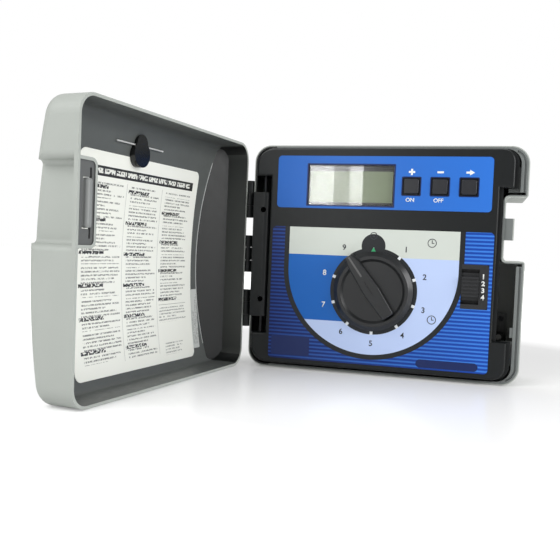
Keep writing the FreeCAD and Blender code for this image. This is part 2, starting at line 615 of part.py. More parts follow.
def make_transformer():
    core = Piece("transformer_core")
    core.pad("front", "core_level", "core_thick",
             box_loop("core_x - core_width / 2", "core_x + core_width / 2",
                      "core_z - core_height / 2", "core_z + core_height / 2"))
    for side in (-1, 1):
        core.cut("front", "core_level - 1", "core_thick + 2",
                 box_loop(f"core_x + {side} * core_width * 0.22 - core_width * 0.1",
                          f"core_x + {side} * core_width * 0.22 + core_width * 0.1",
                          "core_z - core_height * 0.34", "core_z + core_height * 0.34"))
    node(core.body)
    outer = block("coil_outer", "core_x - core_width * 0.32 + gap", "core_x + core_width * 0.32 - gap",
                  "core_level - coil_overhang", "core_level + core_thick + coil_overhang",
                  "core_z - core_height * 0.34 + gap", "core_z + core_height * 0.34 - gap")
    inner = block("coil_inner", "core_x - core_width * 0.12", "core_x + core_width * 0.12",
                  "core_level", "core_level + core_thick",
                  "core_z - core_height / 2", "core_z + core_height / 2")
    soft = doc.addObject("Part::Fillet", "coil_rounded")
    soft.Base = outer
    doc.recompute()
    soft.Edges = [(i + 1, 3.0, 3.0) for i, edge in enumerate(outer.Shape.Edges) if runs_along(edge, ALONG_Z)]
    node(cut("transformer_coil", soft, inner))
    straps = []
    top = "core_level + core_thick"
    for index, side in enumerate((-1, 1), start=1):
        edge = f"(core_x + {side} * core_width / 2)"
        angle = drawn(f"bracket_angle_{index}", "top", "core_z + foot_reach / 2", "foot_reach", Loop(
            (f"{edge} + {side} * foot_reach", "-core_level"),
            (f"{edge} + {side} * foot_reach", "-core_level - bracket_thick"),
            (f"{edge} + {side} * bracket_thick", "-core_level - bracket_thick"),
            (f"{edge} + {side} * bracket_thick", f"-({top}) - bracket_thick"),
            (f"{edge} - {side} * foot_reach / 3", f"-({top}) - bracket_thick"),
            (f"{edge} - {side} * foot_reach / 3", f"-({top})"),
            (edge, f"-({top})"), (edge, "-core_level")))
        hole = rod(f"bracket_hole_{index}", "front", "screw_radius + 0.2", "bracket_thick + 2",
                   *[(x, "core_level - 1", z) for x, z in BRACKET_FEET][index - 1])
        straps.append(cut(f"bracket_{index}", angle, hole))
    node(group("transformer_bracket", straps))
    screws("bracket_screws", [(x, "core_level + bracket_thick", z) for x, z in BRACKET_FEET],
           "screw_radius", "screw_radius * 6", "screw_radius * 1.9", "screw_radius * 1.2")


def make_station_board():
    """The board for the field wires: a green board on four bosses with one row of screw terminals."""
    board = Piece("station_board")
    board.pad("front", "station_level", "board_thick",
              box_loop("station_x - station_board_width / 2", "station_x + station_board_width / 2",
                       "station_z - station_board_height / 2", "station_z + station_board_height / 2"))
    board.cut("front", "station_level - 1", "board_thick + 2",
              *[Ring(x, z, "screw_radius + 0.1") for x, z in BOARD_CORNERS])
    node(board.body)
    screws("station_board_screws", [(x, "station_level + board_thick", z) for x, z in BOARD_CORNERS],
           "screw_radius", "screw_radius * 5.4", "screw_radius * 1.9", "screw_radius * 1.1")
    first_x = "station_x - (station_count - 1) * station_pitch / 2"
    floor = "station_level + board_thick"
    low = "station_z - station_board_height / 2 + 11"
    rail = Piece("station_terminals")
    left = f"{first_x} - station_pitch / 2"
    rail.pad("front", floor, "station_height",
             box_loop(left, f"{left} + station_count * station_pitch", low, f"{low} + station_depth"))
    hollows = []
    count = int(round(number("station_count")))
    for index in range(count):
        x = f"{first_x} + {index} * station_pitch"
        hollows.append(Ring(x, f"{low} + station_depth * 0.62", "station_pitch * 0.34"))
    rail.cut("front", f"{floor} + station_height - 6", "7", *hollows)
    mouths = []
    for index in range(count):
        x = f"{first_x} + {index} * station_pitch"
        mouths.append(box_loop(f"{x} - station_pitch * 0.3", f"{x} + station_pitch * 0.3",
                               f"-({floor}) - 6.5", f"-({floor}) - 2"))
    rail.cut("top", f"{low} - 1", "station_depth * 0.62 + 1", *mouths)
    node(rail.body)
    bolts = []
    for index in range(count):
        x = f"{first_x} + {index} * station_pitch"
        stem = f"terminal_screw_{index + 1}"
        head = rod(stem + "_head", "front", "station_pitch * 0.3", "2.4",
                   x, f"{floor} + station_height - 6", f"{low} + station_depth * 0.62")
        slot = block(stem + "_slot", f"{x} - station_pitch * 0.4", f"{x} + station_pitch * 0.4",
                     f"{floor} + station_height - 4.6", f"{floor} + station_height - 3",
                     f"{low} + station_depth * 0.62 - 0.4", f"{low} + station_depth * 0.62 + 0.4")
        bolts.append(cut(stem, head, slot))
    node(group("terminal_screws", bolts))
    shell, hollow = socket("station_socket", "station_x + station_board_width / 2 - 40",
                           "station_z + station_board_height / 2 - 8", floor,
                           f"{floor} + 2", f"{floor} + socket_height + 1")
    node(cut("station_socket", shell, hollow))


def socket(label, x, z, level, well_rear, well_front):
    """A boxed header for a flat cable, with its well between two levels and a key slot in one side."""
    shell = block(label + "_shell", f"{x} - socket_length / 2", f"{x} + socket_length / 2",
                  level, f"({level}) + socket_height", f"{z} - socket_width / 2", f"{z} + socket_width / 2")
    well = block(label + "_well", f"{x} - socket_length / 2 + 1.4", f"{x} + socket_length / 2 - 1.4",
                 well_rear, well_front, f"{z} - socket_width / 2 + 1.4", f"{z} + socket_width / 2 - 1.4")
    key = block(label + "_key", f"{x} - 2", f"{x} + 2", well_rear, well_front,
                f"{z} - socket_width / 2 - 1", f"{z} - 2")
    return shell, fuse(label + "_hollow", well, key)


def make_power_parts():
    """The mains end: a three-pole terminal block, the earth screw, and a shield over the transformer."""
    low = "core_z + core_height / 2 + 1"
    body = block("power_block", "core_x - power_block_width / 2", "core_x + power_block_width / 2",
                 "back_wall", "back_wall + power_block_depth", low, f"{low} + power_block_height")
    wells, heads = [], []
    for index, side in enumerate((-1, 0, 1), start=1):
        place = (f"core_x + {side} * power_pitch", "back_wall + power_block_depth - 5",
                 f"{low} + power_block_height / 2")
        wells.append(rod(f"power_well_{index}", "front", "power_pitch * 0.27", "6", *place))
        heads.append(rod(f"power_screw_{index}", "front", "power_pitch * 0.23", "2", *place))
    node(cut("power_terminals", body, fuse("power_wells", *wells)))
    node(group("power_screws", heads))
    screws("ground_screw", [(GROUND_X, "back_wall * 2", GROUND_Z)],
           "screw_radius", "back_wall", "screw_radius * 2.6", "screw_radius * 2")
    shield = Piece("wiring_shield")
    shield.pad("front", "back_wall + gap", "shield_level - back_wall - gap + cover_thick",
               box_loop("shield_left", "shield_right", "shield_low", "shield_high"))
    shield.cut("front", "back_wall", "shield_level - back_wall",
               box_loop("shield_left + cover_thick", "shield_right - cover_thick",
                        "shield_low + cover_thick", "shield_high - cover_thick"))
    shield.cut("top", "shield_low - 1", "cover_thick + 2",
               box_loop("power_hole_x - power_hole_radius", "power_hole_x + power_hole_radius",
                        "-shield_level + 6", "0"))
    shield.cut("front", "shield_level - 1", "cover_thick + 2",
               *[Ring(x, z, "screw_radius + 0.2") for x, z in SHIELD_POSTS])
    shield.cut("side", "shield_right - cover_thick - 1", "cover_thick + 2",
               box_loop("-back_wall - 22", "0", "shield_high - 30", "shield_high - 18"))
    node(shield.body)
    screws("shield_screws", [(x, "shield_level + cover_thick", z) for x, z in SHIELD_POSTS],
           "screw_radius", "screw_radius * 8", "screw_radius * 1.9", "screw_radius * 1.3")


# ---------------------------------------------------------------- door

RIM_LEVEL = "cabinet_depth + gap"


def door_profile(label, inset, low, high):
    """A slab with the door's domed front, seen from the side, pulled in by the inset."""
    sketch = doc.addObject("Sketcher::SketchObject", label + "_outline")
    sketch.Placement = Placement(Vector(0, 0, 0), Rotation(Vector(1, 1, 1), 120))
    bind(sketch, "Placement.Base.x", f"-({HALF_W}) - 1")
    top = (f"-({RIM_LEVEL}) - door_top_depth + ({inset})", high)
    bottom = (f"-({RIM_LEVEL}) - door_bottom_depth + ({inset})", low)
    corners = [(f"-({RIM_LEVEL})", low), (f"-({RIM_LEVEL})", high), top, bottom]
    points = [Vector(number(x), number(y), 0) for x, y in corners]
    radius = number(f"dome_radius - ({inset})")
    chord = points[3] - points[2]
    rise = radius - math.sqrt(radius ** 2 - (chord.Length / 2) ** 2)
    outward = Vector(-abs(chord.y), chord.x if chord.y < 0 else -chord.x, 0).normalize()
    crown = (points[2] + points[3]) * 0.5 + outward * rise
    for i in range(3):
        start, end = [(3, 0), (0, 1), (1, 2)][i]
        sketch.addGeometry(Part.LineSegment(points[start], points[end]), False)
    sketch.addGeometry(Part.Arc(points[2], crown, points[3]), False)
    arc = sketch.Geometry[3]
    starts_at_top = (arc.StartPoint - points[2]).Length < 1e-6
    for before, after in ((0, 1), (1, 2)):
        sketch.addConstraint(Sketcher.Constraint("Coincident", before, 2, after, 1))
    sketch.addConstraint(Sketcher.Constraint("Coincident", 2, 2, 3, 1 if starts_at_top else 2))
    sketch.addConstraint(Sketcher.Constraint("Coincident", 0, 1, 3, 2 if starts_at_top else 1))
    for line, corner in ((1, 0), (2, 1), (0, 3)):
        across = sketch.addConstraint(Sketcher.Constraint("DistanceX", -1, 1, line, 1, points[corner].x))
        bind(sketch, f"Constraints[{across}]", corners[corner][0])
        up = sketch.addConstraint(Sketcher.Constraint("DistanceY", -1, 1, line, 1, points[corner].y))
        bind(sketch, f"Constraints[{up}]", corners[corner][1])
    across = sketch.addConstraint(Sketcher.Constraint("DistanceX", -1, 1, 2, 2, points[2].x))
    bind(sketch, f"Constraints[{across}]", corners[2][0])
    up = sketch.addConstraint(Sketcher.Constraint("DistanceY", -1, 1, 2, 2, points[2].y))
    bind(sketch, f"Constraints[{up}]", corners[2][1])
    wide = sketch.addConstraint(Sketcher.Constraint("Radius", 3, radius))
    bind(sketch, f"Constraints[{wide}]", f"dome_radius - ({inset})")
    slab = doc.addObject("Part::Extrusion", label)
    slab.Base = sketch
    slab.DirMode = "Normal"
    slab.Solid = True
    bind(slab, "LengthFwd", "cabinet_width + 2")
    return slab


def door_blank(label, inset, rounding):
    """The door's solid form: the cabinet's outline, the dome and the slope beside the hinge."""
    half_w = f"{HALF_W} - {inset}"
    outline = drawn(label + "_walls", "front", RIM_LEVEL, "cabinet_depth",
                    inset_box(inset))
    dome = door_profile(label + "_dome", inset, f"-({HALF_H})", HALF_H)
    form = common(label + "_form", outline, dome)
    doc.recompute()
    soft = doc.addObject("Part::Fillet", label + "_soft")
    soft.Base = form
    radius = number(rounding)
    soft.Edges = [(i + 1, radius, radius) for i, edge in enumerate(form.Shape.Edges) if front_edge(edge)]
    rear, shallow = f"-({RIM_LEVEL}) + 1", f"-({RIM_LEVEL}) - slope_start + {inset}"
    deep = f"{shallow} - slope_rise * 2"
    slope = drawn(label + "_slope", "top", f"-({HALF_H}) - 1", "cabinet_height + 2", Loop(
        (f"-({HALF_W}) - 1", rear), (f"-({HALF_W}) - 1", shallow), (f"-({half_w})", shallow),
        (f"-({half_w}) + slope_run * 2", deep), (f"{HALF_W} + 1", deep), (f"{HALF_W} + 1", rear)))
    return common(label, soft, slope)


def front_edge(edge):
    """An edge between the door's side walls and its front: every edge clear of the rim that isn't along Y."""
    return -edge.BoundBox.YMax > number(RIM_LEVEL) + 10 and not runs_along(edge, ALONG_Y)


def slot(label, shape_loop, rear, front):
    return drawn(label, "front", rear, sub(front, rear), shape_loop)


def on_door(item):
    """Turns a finished door piece about the hinge, from the closed cabinet to the open rest position."""
    item.Placement = Placement(Vector(0, 0, 0), Rotation(Vector(0, 0, -1), number("door_open_angle")))
    x, y = f"({HINGE_X})", f"(-({HINGE_LEVEL}))"
    bind(item, "Placement.Rotation.Angle", "door_open_angle")
    bind(item, "Placement.Base.x", f"{x} - {x} * cos(door_open_angle) - {y} * sin(door_open_angle)")
    bind(item, "Placement.Base.y", f"{y} + {x} * sin(door_open_angle) - {y} * cos(door_open_angle)")
    return item


BAY_LEFT = "cabinet_width / 2 - notch_depth - wall / 2"
BAY_FLOOR = f"{RIM_LEVEL} + bay_drop"
LATCH_Z = "(notch_low + notch_high) / 2"
LATCH_PIN_X = f"{NOTCH_X} - 0.1"
LATCH_PIN_LEVEL = f"{BAY_FLOOR} + wall + 4"
LATCH_LEFT = f"{NOTCH_X} + 3.6"


def scoop_loop(grow, right):
    """The finger scoop in the free edge: round inner corners and a rounded lip above and below."""
    left, side = f"{HALF_W} - scoop_depth - ({grow})", f"{HALF_W} - ({grow})"
    inner, lip = f"notch_corner + ({grow})", f"scoop_lip - ({grow})"
    low, high = f"notch_low - ({grow})", f"notch_high + ({grow})"
    end_low, end_high = "notch_low - scoop_lip - wall", "notch_high + scoop_lip + wall"
    return SoftLoop((left, low, inner), (side, low, lip), (side, end_low, "0"), (right, end_low, "0"),
                    (right, end_high, "0"), (side, end_high, "0"), (side, high, lip), (left, high, inner))


def make_door():
    outer = door_blank("door_outer", "0", "edge_round")
    inner = door_blank("door_inner", "wall", "edge_round - wall")
    # the finger scoop in the free edge, and the shallow bay for the latch behind the rim
    scoop = slot("door_scoop", scoop_loop("0", f"{HALF_W} + 1"), f"{BAY_FLOOR} + wall",
                 f"{RIM_LEVEL} + cabinet_depth")
    scoop_wall = slot("door_scoop_wall", scoop_loop("wall", f"{HALF_W} + 1"), BAY_FLOOR,
                      f"{RIM_LEVEL} + cabinet_depth")
    bay_wall = slot("door_bay_wall", notch_loop("wall", HALF_W), f"{RIM_LEVEL} - 1", f"{BAY_FLOOR} + wall")
    bay = slot("door_bay", notch_loop("0", INNER_W), f"{RIM_LEVEL} - 1", BAY_FLOOR)
    hollow = cut("door_hollow", inner, fuse("door_bay_walls", scoop_wall, bay_wall))
    window = block("latch_window", f"{LATCH_LEFT} - 0.6", f"{LATCH_LEFT} + latch_width + 2.2",
                   f"{BAY_FLOOR} - 1", f"{BAY_FLOOR} + wall * 2",
                   f"{LATCH_Z} - latch_length / 2 - 0.6", f"{LATCH_Z} + latch_length / 2 + 0.6")
    slits = block("latch_slits", f"{LATCH_LEFT} - 0.6", f"{LATCH_LEFT} + 1.6", f"{BAY_FLOOR} - 1",
                  f"{BAY_FLOOR} + wall + 1", f"{LATCH_Z} - latch_length / 2 - 8",
                  f"{LATCH_Z} + latch_length / 2 + 8")
    shell = cut("door_walls", outer, fuse("door_openings", hollow, scoop, bay, window, slits))
    parts = [shell]
    for end in (-1, 1):
        middle = f"{LATCH_Z} + {end} * (latch_length / 2 - 5)"
        lug = block(f"latch_lug_{end + 2}", f"{LATCH_PIN_X} - 3", f"{LATCH_PIN_X} + 2.6",
                    f"{BAY_FLOOR} + wall / 2", f"{LATCH_PIN_LEVEL} + 2.6", f"{middle} - 2", f"{middle} + 2")
        parts.append(lug)
    for index, station in enumerate(STATIONS, start=1):
        for end in (-1, 1):
            near_end = "hook_length / 2 + gap"
            far_end = "knuckle_length / 2"
            low = f"{station} + {near_end}" if end > 0 else f"{station} - {far_end}"
            length = f"{far_end} - ({near_end})"
            stem = f"door_ear_{index}_{end + 2}"
            lobe = rod(stem + "_lobe", "up", "barrel_radius", length, HINGE_X, HINGE_LEVEL, low)
            web = drawn(stem + "_web", "top", low, length, Loop(
                (f"{HINGE_X} - barrel_radius * 0.64", f"-({HINGE_LEVEL}) - barrel_radius * 0.76"),
                (f"{HINGE_X} + barrel_radius * 0.9", f"-({RIM_LEVEL})"),
                (f"-({HALF_W}) + wall / 2", f"-({RIM_LEVEL})"),
                (f"-({HALF_W}) + wall / 2", f"-({RIM_LEVEL}) - barrel_radius * 2"),
                (f"-({HALF_W})", f"-({RIM_LEVEL}) - barrel_radius * 2")))
            parts += [lobe, web]
    solid = fuse("door_with_ears", *parts)
    bores = [rod(f"door_pin_bore_{index}", "up", "pin_radius", "knuckle_length + 2", HINGE_X, HINGE_LEVEL,
                 f"{station} - knuckle_length / 2 - 1") for index, station in enumerate(STATIONS, start=1)]
    latch_bore = rod("latch_pin_bore", "up", "latch_pin_radius", "latch_length", LATCH_PIN_X, LATCH_PIN_LEVEL,
                     f"{LATCH_Z} - latch_length / 2")
    node(on_door(cut("door_shell", solid, fuse("door_bores", *bores, latch_bore))))
    pins = [rod(f"hinge_pin_{index}", "up", "pin_radius", "knuckle_length", HINGE_X, HINGE_LEVEL,
                f"{station} - knuckle_length / 2") for index, station in enumerate(STATIONS, start=1)]
    node(on_door(group("hinge_pins", pins)))
    axle = rod("latch_axle", "up", "latch_pin_radius", "latch_length - 6", LATCH_PIN_X, LATCH_PIN_LEVEL,
               f"{LATCH_Z} - latch_length / 2 + 3")
    node(on_door(group("latch_pin", [axle])))


def make_latch():
    """The sprung latch bar: it turns on its pin behind the bay floor and its nose meets the strike."""
    lug_low = f"{LATCH_Z} - latch_length / 2 + 7 + gap"
    long = "latch_length - 14 - gap * 2"
    barrel = rod("latch_barrel", "up", "latch_pin_radius + 1.3", long, LATCH_PIN_X, LATCH_PIN_LEVEL, lug_low)
    arm = block("latch_arm", LATCH_PIN_X, f"{LATCH_LEFT} + 2.6", f"{LATCH_PIN_LEVEL} - 1.4",
                f"{LATCH_PIN_LEVEL} + 1.4", lug_low, f"{lug_low} + {long}")
    stem = block("latch_stem", LATCH_LEFT, f"{LATCH_LEFT} + 2.6", f"{BAY_FLOOR} + wall / 2",
                 f"{LATCH_PIN_LEVEL} + 1.4", lug_low, f"{lug_low} + {long}")
    bar = Piece("latch_bar")
    nose = f"-({RIM_LEVEL}) + latch_nose"
    bar.pad("top", f"{LATCH_Z} - latch_length / 2", "latch_length",
            box_loop(LATCH_LEFT, f"{LATCH_LEFT} + latch_width", f"-({BAY_FLOOR}) - wall", nose))
    bar.round("latch_width * 0.4", lambda edge: runs_along(edge, ALONG_Z) and near(edge.CenterOfMass.y, nose))
    bar.round("2.5", lambda edge: runs_along(edge, ALONG_Y))
    solid = fuse("latch_blank", barrel, arm, stem, bar.body)
    bore = rod("latch_bore", "up", "latch_pin_radius + run_gap", "latch_length + 2", LATCH_PIN_X,
               LATCH_PIN_LEVEL, f"{LATCH_Z} - latch_length / 2 - 1")
    node(on_door(cut("door_latch", solid, bore)))


def curved_sheet(label, left, right, low, high, lift, thick, corner):
    """A thin sheet that follows the inside of the dome, with rounded corners."""
    skin = cut(label + "_skin", door_profile(label + "_under", f"wall + {lift}", f"-({HALF_H})", HALF_H),
               door_profile(label + "_over", f"wall + {lift} + {thick}", f"-({HALF_H})", HALF_H))
    card = Piece(label + "_cutter")
    card.pad("front", f"{RIM_LEVEL} + 10", "cabinet_depth", box_loop(left, right, low, high))
    card.round(corner, corner_edges(left, right, low, high))
    return common(label, skin, card.body)


def make_door_papers():
    node(on_door(curved_sheet("instruction_card", "card_left", "card_right", "card_low", "card_high",
                              "0", "paper", "7")))
    node(on_door(curved_sheet("wiring_label", "card_left - wiring_label_width - gap * 2",
                              "card_left - gap * 2", "wiring_label_low",
                              "wiring_label_low + wiring_label_length", "0", "paper", "1.5")))
    # the hanging peg, a disc under a narrower arch, with the wire that clips the card
    base, arch_z = f"{RIM_LEVEL} + peg_depth", "peg_z + peg_radius * 0.75"
    disc = rod("peg_disc", "front", "peg_radius", "door_top_depth", "peg_x", base, "peg_z")
    arch = rod("peg_arch", "front", "peg_radius * 0.68", "door_top_depth", "peg_x", base, arch_z)
    stock = fuse("peg_stock", disc, arch)
    under = door_profile("peg_under", "wall + paper", f"-({HALF_H})", HALF_H)
    clear = rod("peg_wire_way", "right", "wire_radius", "wire_length", "peg_x - wire_length / 2",
                f"{base} + 2", "peg_z + peg_radius * 0.6")
    node(on_door(cut("card_peg", common("peg_blank", stock, under), clear)))
    wire = rod("wire_rod", "right", "wire_radius", "wire_length", "peg_x - wire_length / 2",
               f"{base} + 2", "peg_z + peg_radius * 0.6")
    node(on_door(group("card_wire", [wire])))


# ---------------------------------------------------------------- control module

WELL_HIGH = "notch_high + scoop_lip + wall + gap"
SLOT_LOW = "hinge_centre_z - strip_end - pocket"
SLOT_HIGH = "hinge_centre_z + strip_end + pocket"
KEYS = [("key_on", "0"), ("key_off", "1"), ("key_next", "2")]
DIAL_LEVEL = "module_front + panel_thick"


def module_outline(grow):
    """The module's front outline: straight left edge and a wide shallow recess in the right edge."""
    return Loop(("main_left", "module_bottom"),
                (f"module_right + ({grow})", "module_bottom"),
                (f"module_right + ({grow})", "well_low"),
                (f"module_notch_x + ({grow})", "well_low"),
                (f"module_notch_x + ({grow})", WELL_HIGH), (f"module_right + ({grow})", WELL_HIGH),
                (f"module_right + ({grow})", "module_top"),
                ("main_left", "module_top"))


def make_module_frame():
    frame = Piece("module_frame")
    frame.pad("front", "module_back", "module_front - module_back", module_outline("0"))
    for low, high in (("module_bottom", SLOT_LOW), (SLOT_HIGH, "module_top")):
        frame.pad("front", "ear_level", "module_front - ear_level",
                  box_loop("module_left", "main_left + 1", low, high))
    frame.round("ear_corner", corner_edges("module_left", "module_left", "module_bottom", "module_top"))
    frame.round("module_corner", corner_edges("module_right", "module_right", "module_bottom", "module_top"))
    frame.pad("front", "module_back", "flange_level - module_back", module_outline("flange_reach"))
    frame.round("module_corner", corner_edges("module_right + flange_reach", "module_right + flange_reach",
                                              "module_bottom", "module_top"))
    frame.round("2.2", front_rim)
    # hollow behind, with a wall left all round
    frame.cut("front", "module_back - 1", "module_front - module_skin - module_back + 1",
              Loop(("main_left + module_wall", "module_bottom + module_wall"),
                   ("module_notch_x - module_wall", "module_bottom + module_wall"),
                   ("module_notch_x - module_wall", "module_top - module_wall"),
                   ("main_left + module_wall", "module_top - module_wall")))
    # openings: screen, three keys with a wide well and a narrower guide, dial shaft, slider
    frame.cut("front", "module_front - module_skin - 1", "module_skin + 2",
              box_loop("screen_left", "screen_right", "screen_low", "screen_high"))
    for _, step in KEYS:
        x = f"key_first_x + {step} * key_pitch"
        frame.cut("front", "module_front - 1.4", "2",
                  box_loop(f"{x} - key_well / 2", f"{x} + key_well / 2",
                           "key_z - key_well / 2", "key_z + key_well / 2"))
        frame.cut("front", "module_front - module_skin - 1", "module_skin + 2",
                  box_loop(f"{x} - key_size / 2 - gap / 2", f"{x} + key_size / 2 + gap / 2",
                           "key_z - key_size / 2 - gap / 2", "key_z + key_size / 2 + gap / 2"))
    frame.cut("front", "module_front - module_skin - 1", "module_skin + 2",
              Ring("dial_x", "dial_z", "hub_radius + gap"))
    frame.cut("front", "module_front - module_skin - 1", "module_skin + 2",
              box_loop("slider_x - slider_window_width / 2", "slider_x + slider_window_width / 2",
                       "slider_z - slider_window_length / 2", "slider_z + slider_window_length / 2"))
    # bosses for the main board and the rear cover, and the pivot bores in the two left lugs
    frame.pad("front", "board_level + board_thick",
              "module_front - module_skin - board_level - board_thick + 0.5",
              *[Ring(x, z, "boss_radius") for x, z in BOARD_BOSSES])
    frame.pad("front", "module_back", "module_front - module_skin - module_back + 0.5",
              *[Ring(x, z, "boss_radius") for x, z in COVER_BOSSES])
    frame.cut("front", "module_back - 1", "9", *[Ring(x, z, "screw_radius") for x, z in COVER_BOSSES])
    frame.cut("front", "board_level", "7", *[Ring(x, z, "screw_radius") for x, z in BOARD_BOSSES])
    frame.cut("top", f"{SLOT_LOW} - 9", f"({SLOT_HIGH}) - ({SLOT_LOW}) + 18",
              Ring("pivot_x", "-pivot_level", "pivot_radius + run_gap"))
    node(frame.body)


def front_rim(edge):
    """The outer rim of the module's front face."""
    box = edge.BoundBox
    level = number("module_front")
    return abs(-box.YMax - level) < 0.01 and abs(-box.YMin - level) < 0.01


BOARD_BOSSES = [(x, z) for z in ("board_high - board_corner", "board_low + board_corner")
                for x in ("board_left + board_corner", "board_right - board_corner")]
COVER_BOSSES = [(x, z) for z in ("module_top - boss_inset", "module_bottom + boss_inset")
                for x in ("main_left + boss_inset", "0", "module_notch_x - boss_inset")]


def rounded_panel(label, left, right, low, high):
    panel = Piece(label)
    panel.pad("front", "module_front", "panel_thick", box_loop(left, right, low, high))
    panel.round("panel_corner", corner_edges(left, right, low, high))
    return panel


def make_panels():
    upper = rounded_panel("panel_upper", "upper_left", "upper_right", "upper_low", "upper_high")
    upper.cut("front", "module_front - 1", "3",
              box_loop("screen_left", "screen_right", "screen_low", "screen_high"))
    for _, step in KEYS:
        x = f"key_first_x + {step} * key_pitch"
        upper.cut("front", "module_front - 1", "3",
                  box_loop(f"{x} - key_well / 2", f"{x} + key_well / 2",
                           "key_z - key_well / 2", "key_z + key_well / 2"))
    node(upper.body)
    # dial label: straight sides above a half circle
    half = drawn("dial_label_round", "front", "module_front", "panel_thick",
                 Ring("label_x", "label_z", "label_radius"))
    square = drawn("dial_label_square", "front", "module_front", "panel_thick",
                   box_loop("label_left", "label_right", "label_z", "lower_high"))
    above = drawn("dial_label_above", "front", "module_front - 1", "3",
                  box_loop("label_left - 1", "label_right + 1", "lower_high", "label_z + label_radius + 1"))
    form = cut("dial_label_form", fuse("dial_label_blank", half, square), above)
    hole = rod("dial_label_hole", "front", "hub_radius + gap", "3", "dial_x", "module_front - 1", "dial_z")
    node(cut("dial_label", form, hole))
    lower = rounded_panel("panel_lower_blank", "lower_left", "lower_right", "lower_low", "lower_high")
    window = block("slider_patch_hole", "slider_x - slider_window_width / 2",
                   "slider_x + slider_window_width / 2 + slider_patch_width - slider_window_width",
                   "module_front - 1", "module_front + 2",
                   "slider_z - slider_patch_length / 2", "slider_z + slider_patch_length / 2")
    node(cut("panel_lower", lower.body, fuse("panel_lower_holes", form, window)))
    patch = Piece("slider_plate")
    left = "slider_x - slider_window_width / 2"
    right = "slider_x - slider_window_width / 2 + slider_patch_width"
    patch.pad("front", "module_front", "panel_thick * 1.5",
              box_loop(left, right, "slider_z - slider_patch_length / 2",
                       "slider_z + slider_patch_length / 2"))
    patch.round("3.5", lambda edge: runs_along(edge, ALONG_Y) and near(edge.CenterOfMass.x, right))
    patch.cut("front", "module_front - 1", "3",
              box_loop("slider_x - slider_window_width / 2 - 1", "slider_x + slider_window_width / 2",
                       "slider_z - slider_window_length / 2", "slider_z + slider_window_length / 2"))
    node(patch.body)


def make_screen():
    """Display parts: clear lens in the frame's opening, then the glass and its white holder on the board."""
    node(block("screen_lens", "screen_left", "screen_right", "module_front - module_skin",
               "module_front - 1.2", "screen_low", "screen_high"))
    node(block("screen_glass", "screen_left - 3", "screen_right + 3", "module_front - module_skin - 2.4",
               "module_front - module_skin", "screen_low - 2", "screen_high + 2"))
    holder = block("screen_holder_blank", "screen_left - 4", "screen_right + 4", "board_level + board_thick",
                   "module_front - module_skin - 2.4", "screen_low - 3", "screen_high + 3")
    inside = block("screen_holder_inside", "screen_left + 1", "screen_right - 1", "board_level",
                   "module_front", "screen_low + 2", "screen_high - 2")
    node(cut("screen_holder", holder, inside))


def make_board():
    board = Piece("main_board")
    edges = ("board_left", "board_right", "board_low", "board_high")
    board.pad("front", "board_level", "board_thick", box_loop(*edges))
    board.cut("front", "board_level - 1", "board_thick + 2",
              *[Ring(x, z, "screw_radius + 0.1") for x, z in BOARD_BOSSES])
    board.round("board_corner", corner_edges(*edges))
    node(board.body)
    items = []
    for index, (x, z) in enumerate(BOARD_BOSSES, start=1):
        stem = f"board_screw_{index}"
        shank = rod(stem + "_shank", "front", "screw_radius", "screw_radius * 4", x, "board_level - 0.5", z)
        head = rod(stem + "_head", "front", "screw_radius * 1.9", "screw_radius", x,
                   "board_level - screw_radius", z)
        items.append(fuse(stem, shank, head))
    node(group("board_screws", items))
    # rubber key mat with a dome behind each key
    back = "board_level + board_thick"
    pieces = [block("key_mat_sheet", "key_first_x - 12", "key_first_x + key_pitch * 2 + 12", back,
                    f"{back} + 1.2", "key_z - 12", "key_z + 12")]
    for label, step in KEYS:
        dome = doc.addObject("Part::Cone", "mat_dome_" + label)
        dome.Placement = Placement(Vector(0, 0, 0), TURN["front"])
        bind(dome, "Radius1", "6")
        bind(dome, "Radius2", "4")
        bind(dome, "Height", "module_front - module_skin - key_flange_thick - key_travel - gap * 2"
                             " - board_level - board_thick")
        bind(dome, "Placement.Base.x", f"key_first_x + {step} * key_pitch")
        bind(dome, "Placement.Base.y", f"-({back})")
        bind(dome, "Placement.Base.z", "key_z")
        pieces.append(dome)
    node(fuse("key_mat", *pieces))
    # rotary switch behind the dial, with a bushing round the shaft
    switch = block("rotary_body", "dial_x - 14", "dial_x + 14", back, f"{back} + 5",
                   "dial_z - 14", "dial_z + 14")
    bush = rod("rotary_bush", "front", "shaft_radius + 1.6", "7", "dial_x", back, "dial_z")
    bore = rod("rotary_bore", "front", "shaft_radius + run_gap", "12", "dial_x", f"{back} + 1", "dial_z")
    node(cut("rotary_switch", fuse("rotary_blank", switch, bush), bore))
    shell = block("slide_switch_body", "slider_x - 7", "slider_x + 7", back, f"{back} + 4.5",
                  "slider_z - 15", "slider_z + 15")
    track = block("slide_switch_track", "slider_x - 2.2", "slider_x + 2.2", f"{back} + 1", f"{back} + 5",
                  "slider_z - 12", "slider_z + 12")
    node(cut("slide_switch", shell, track))


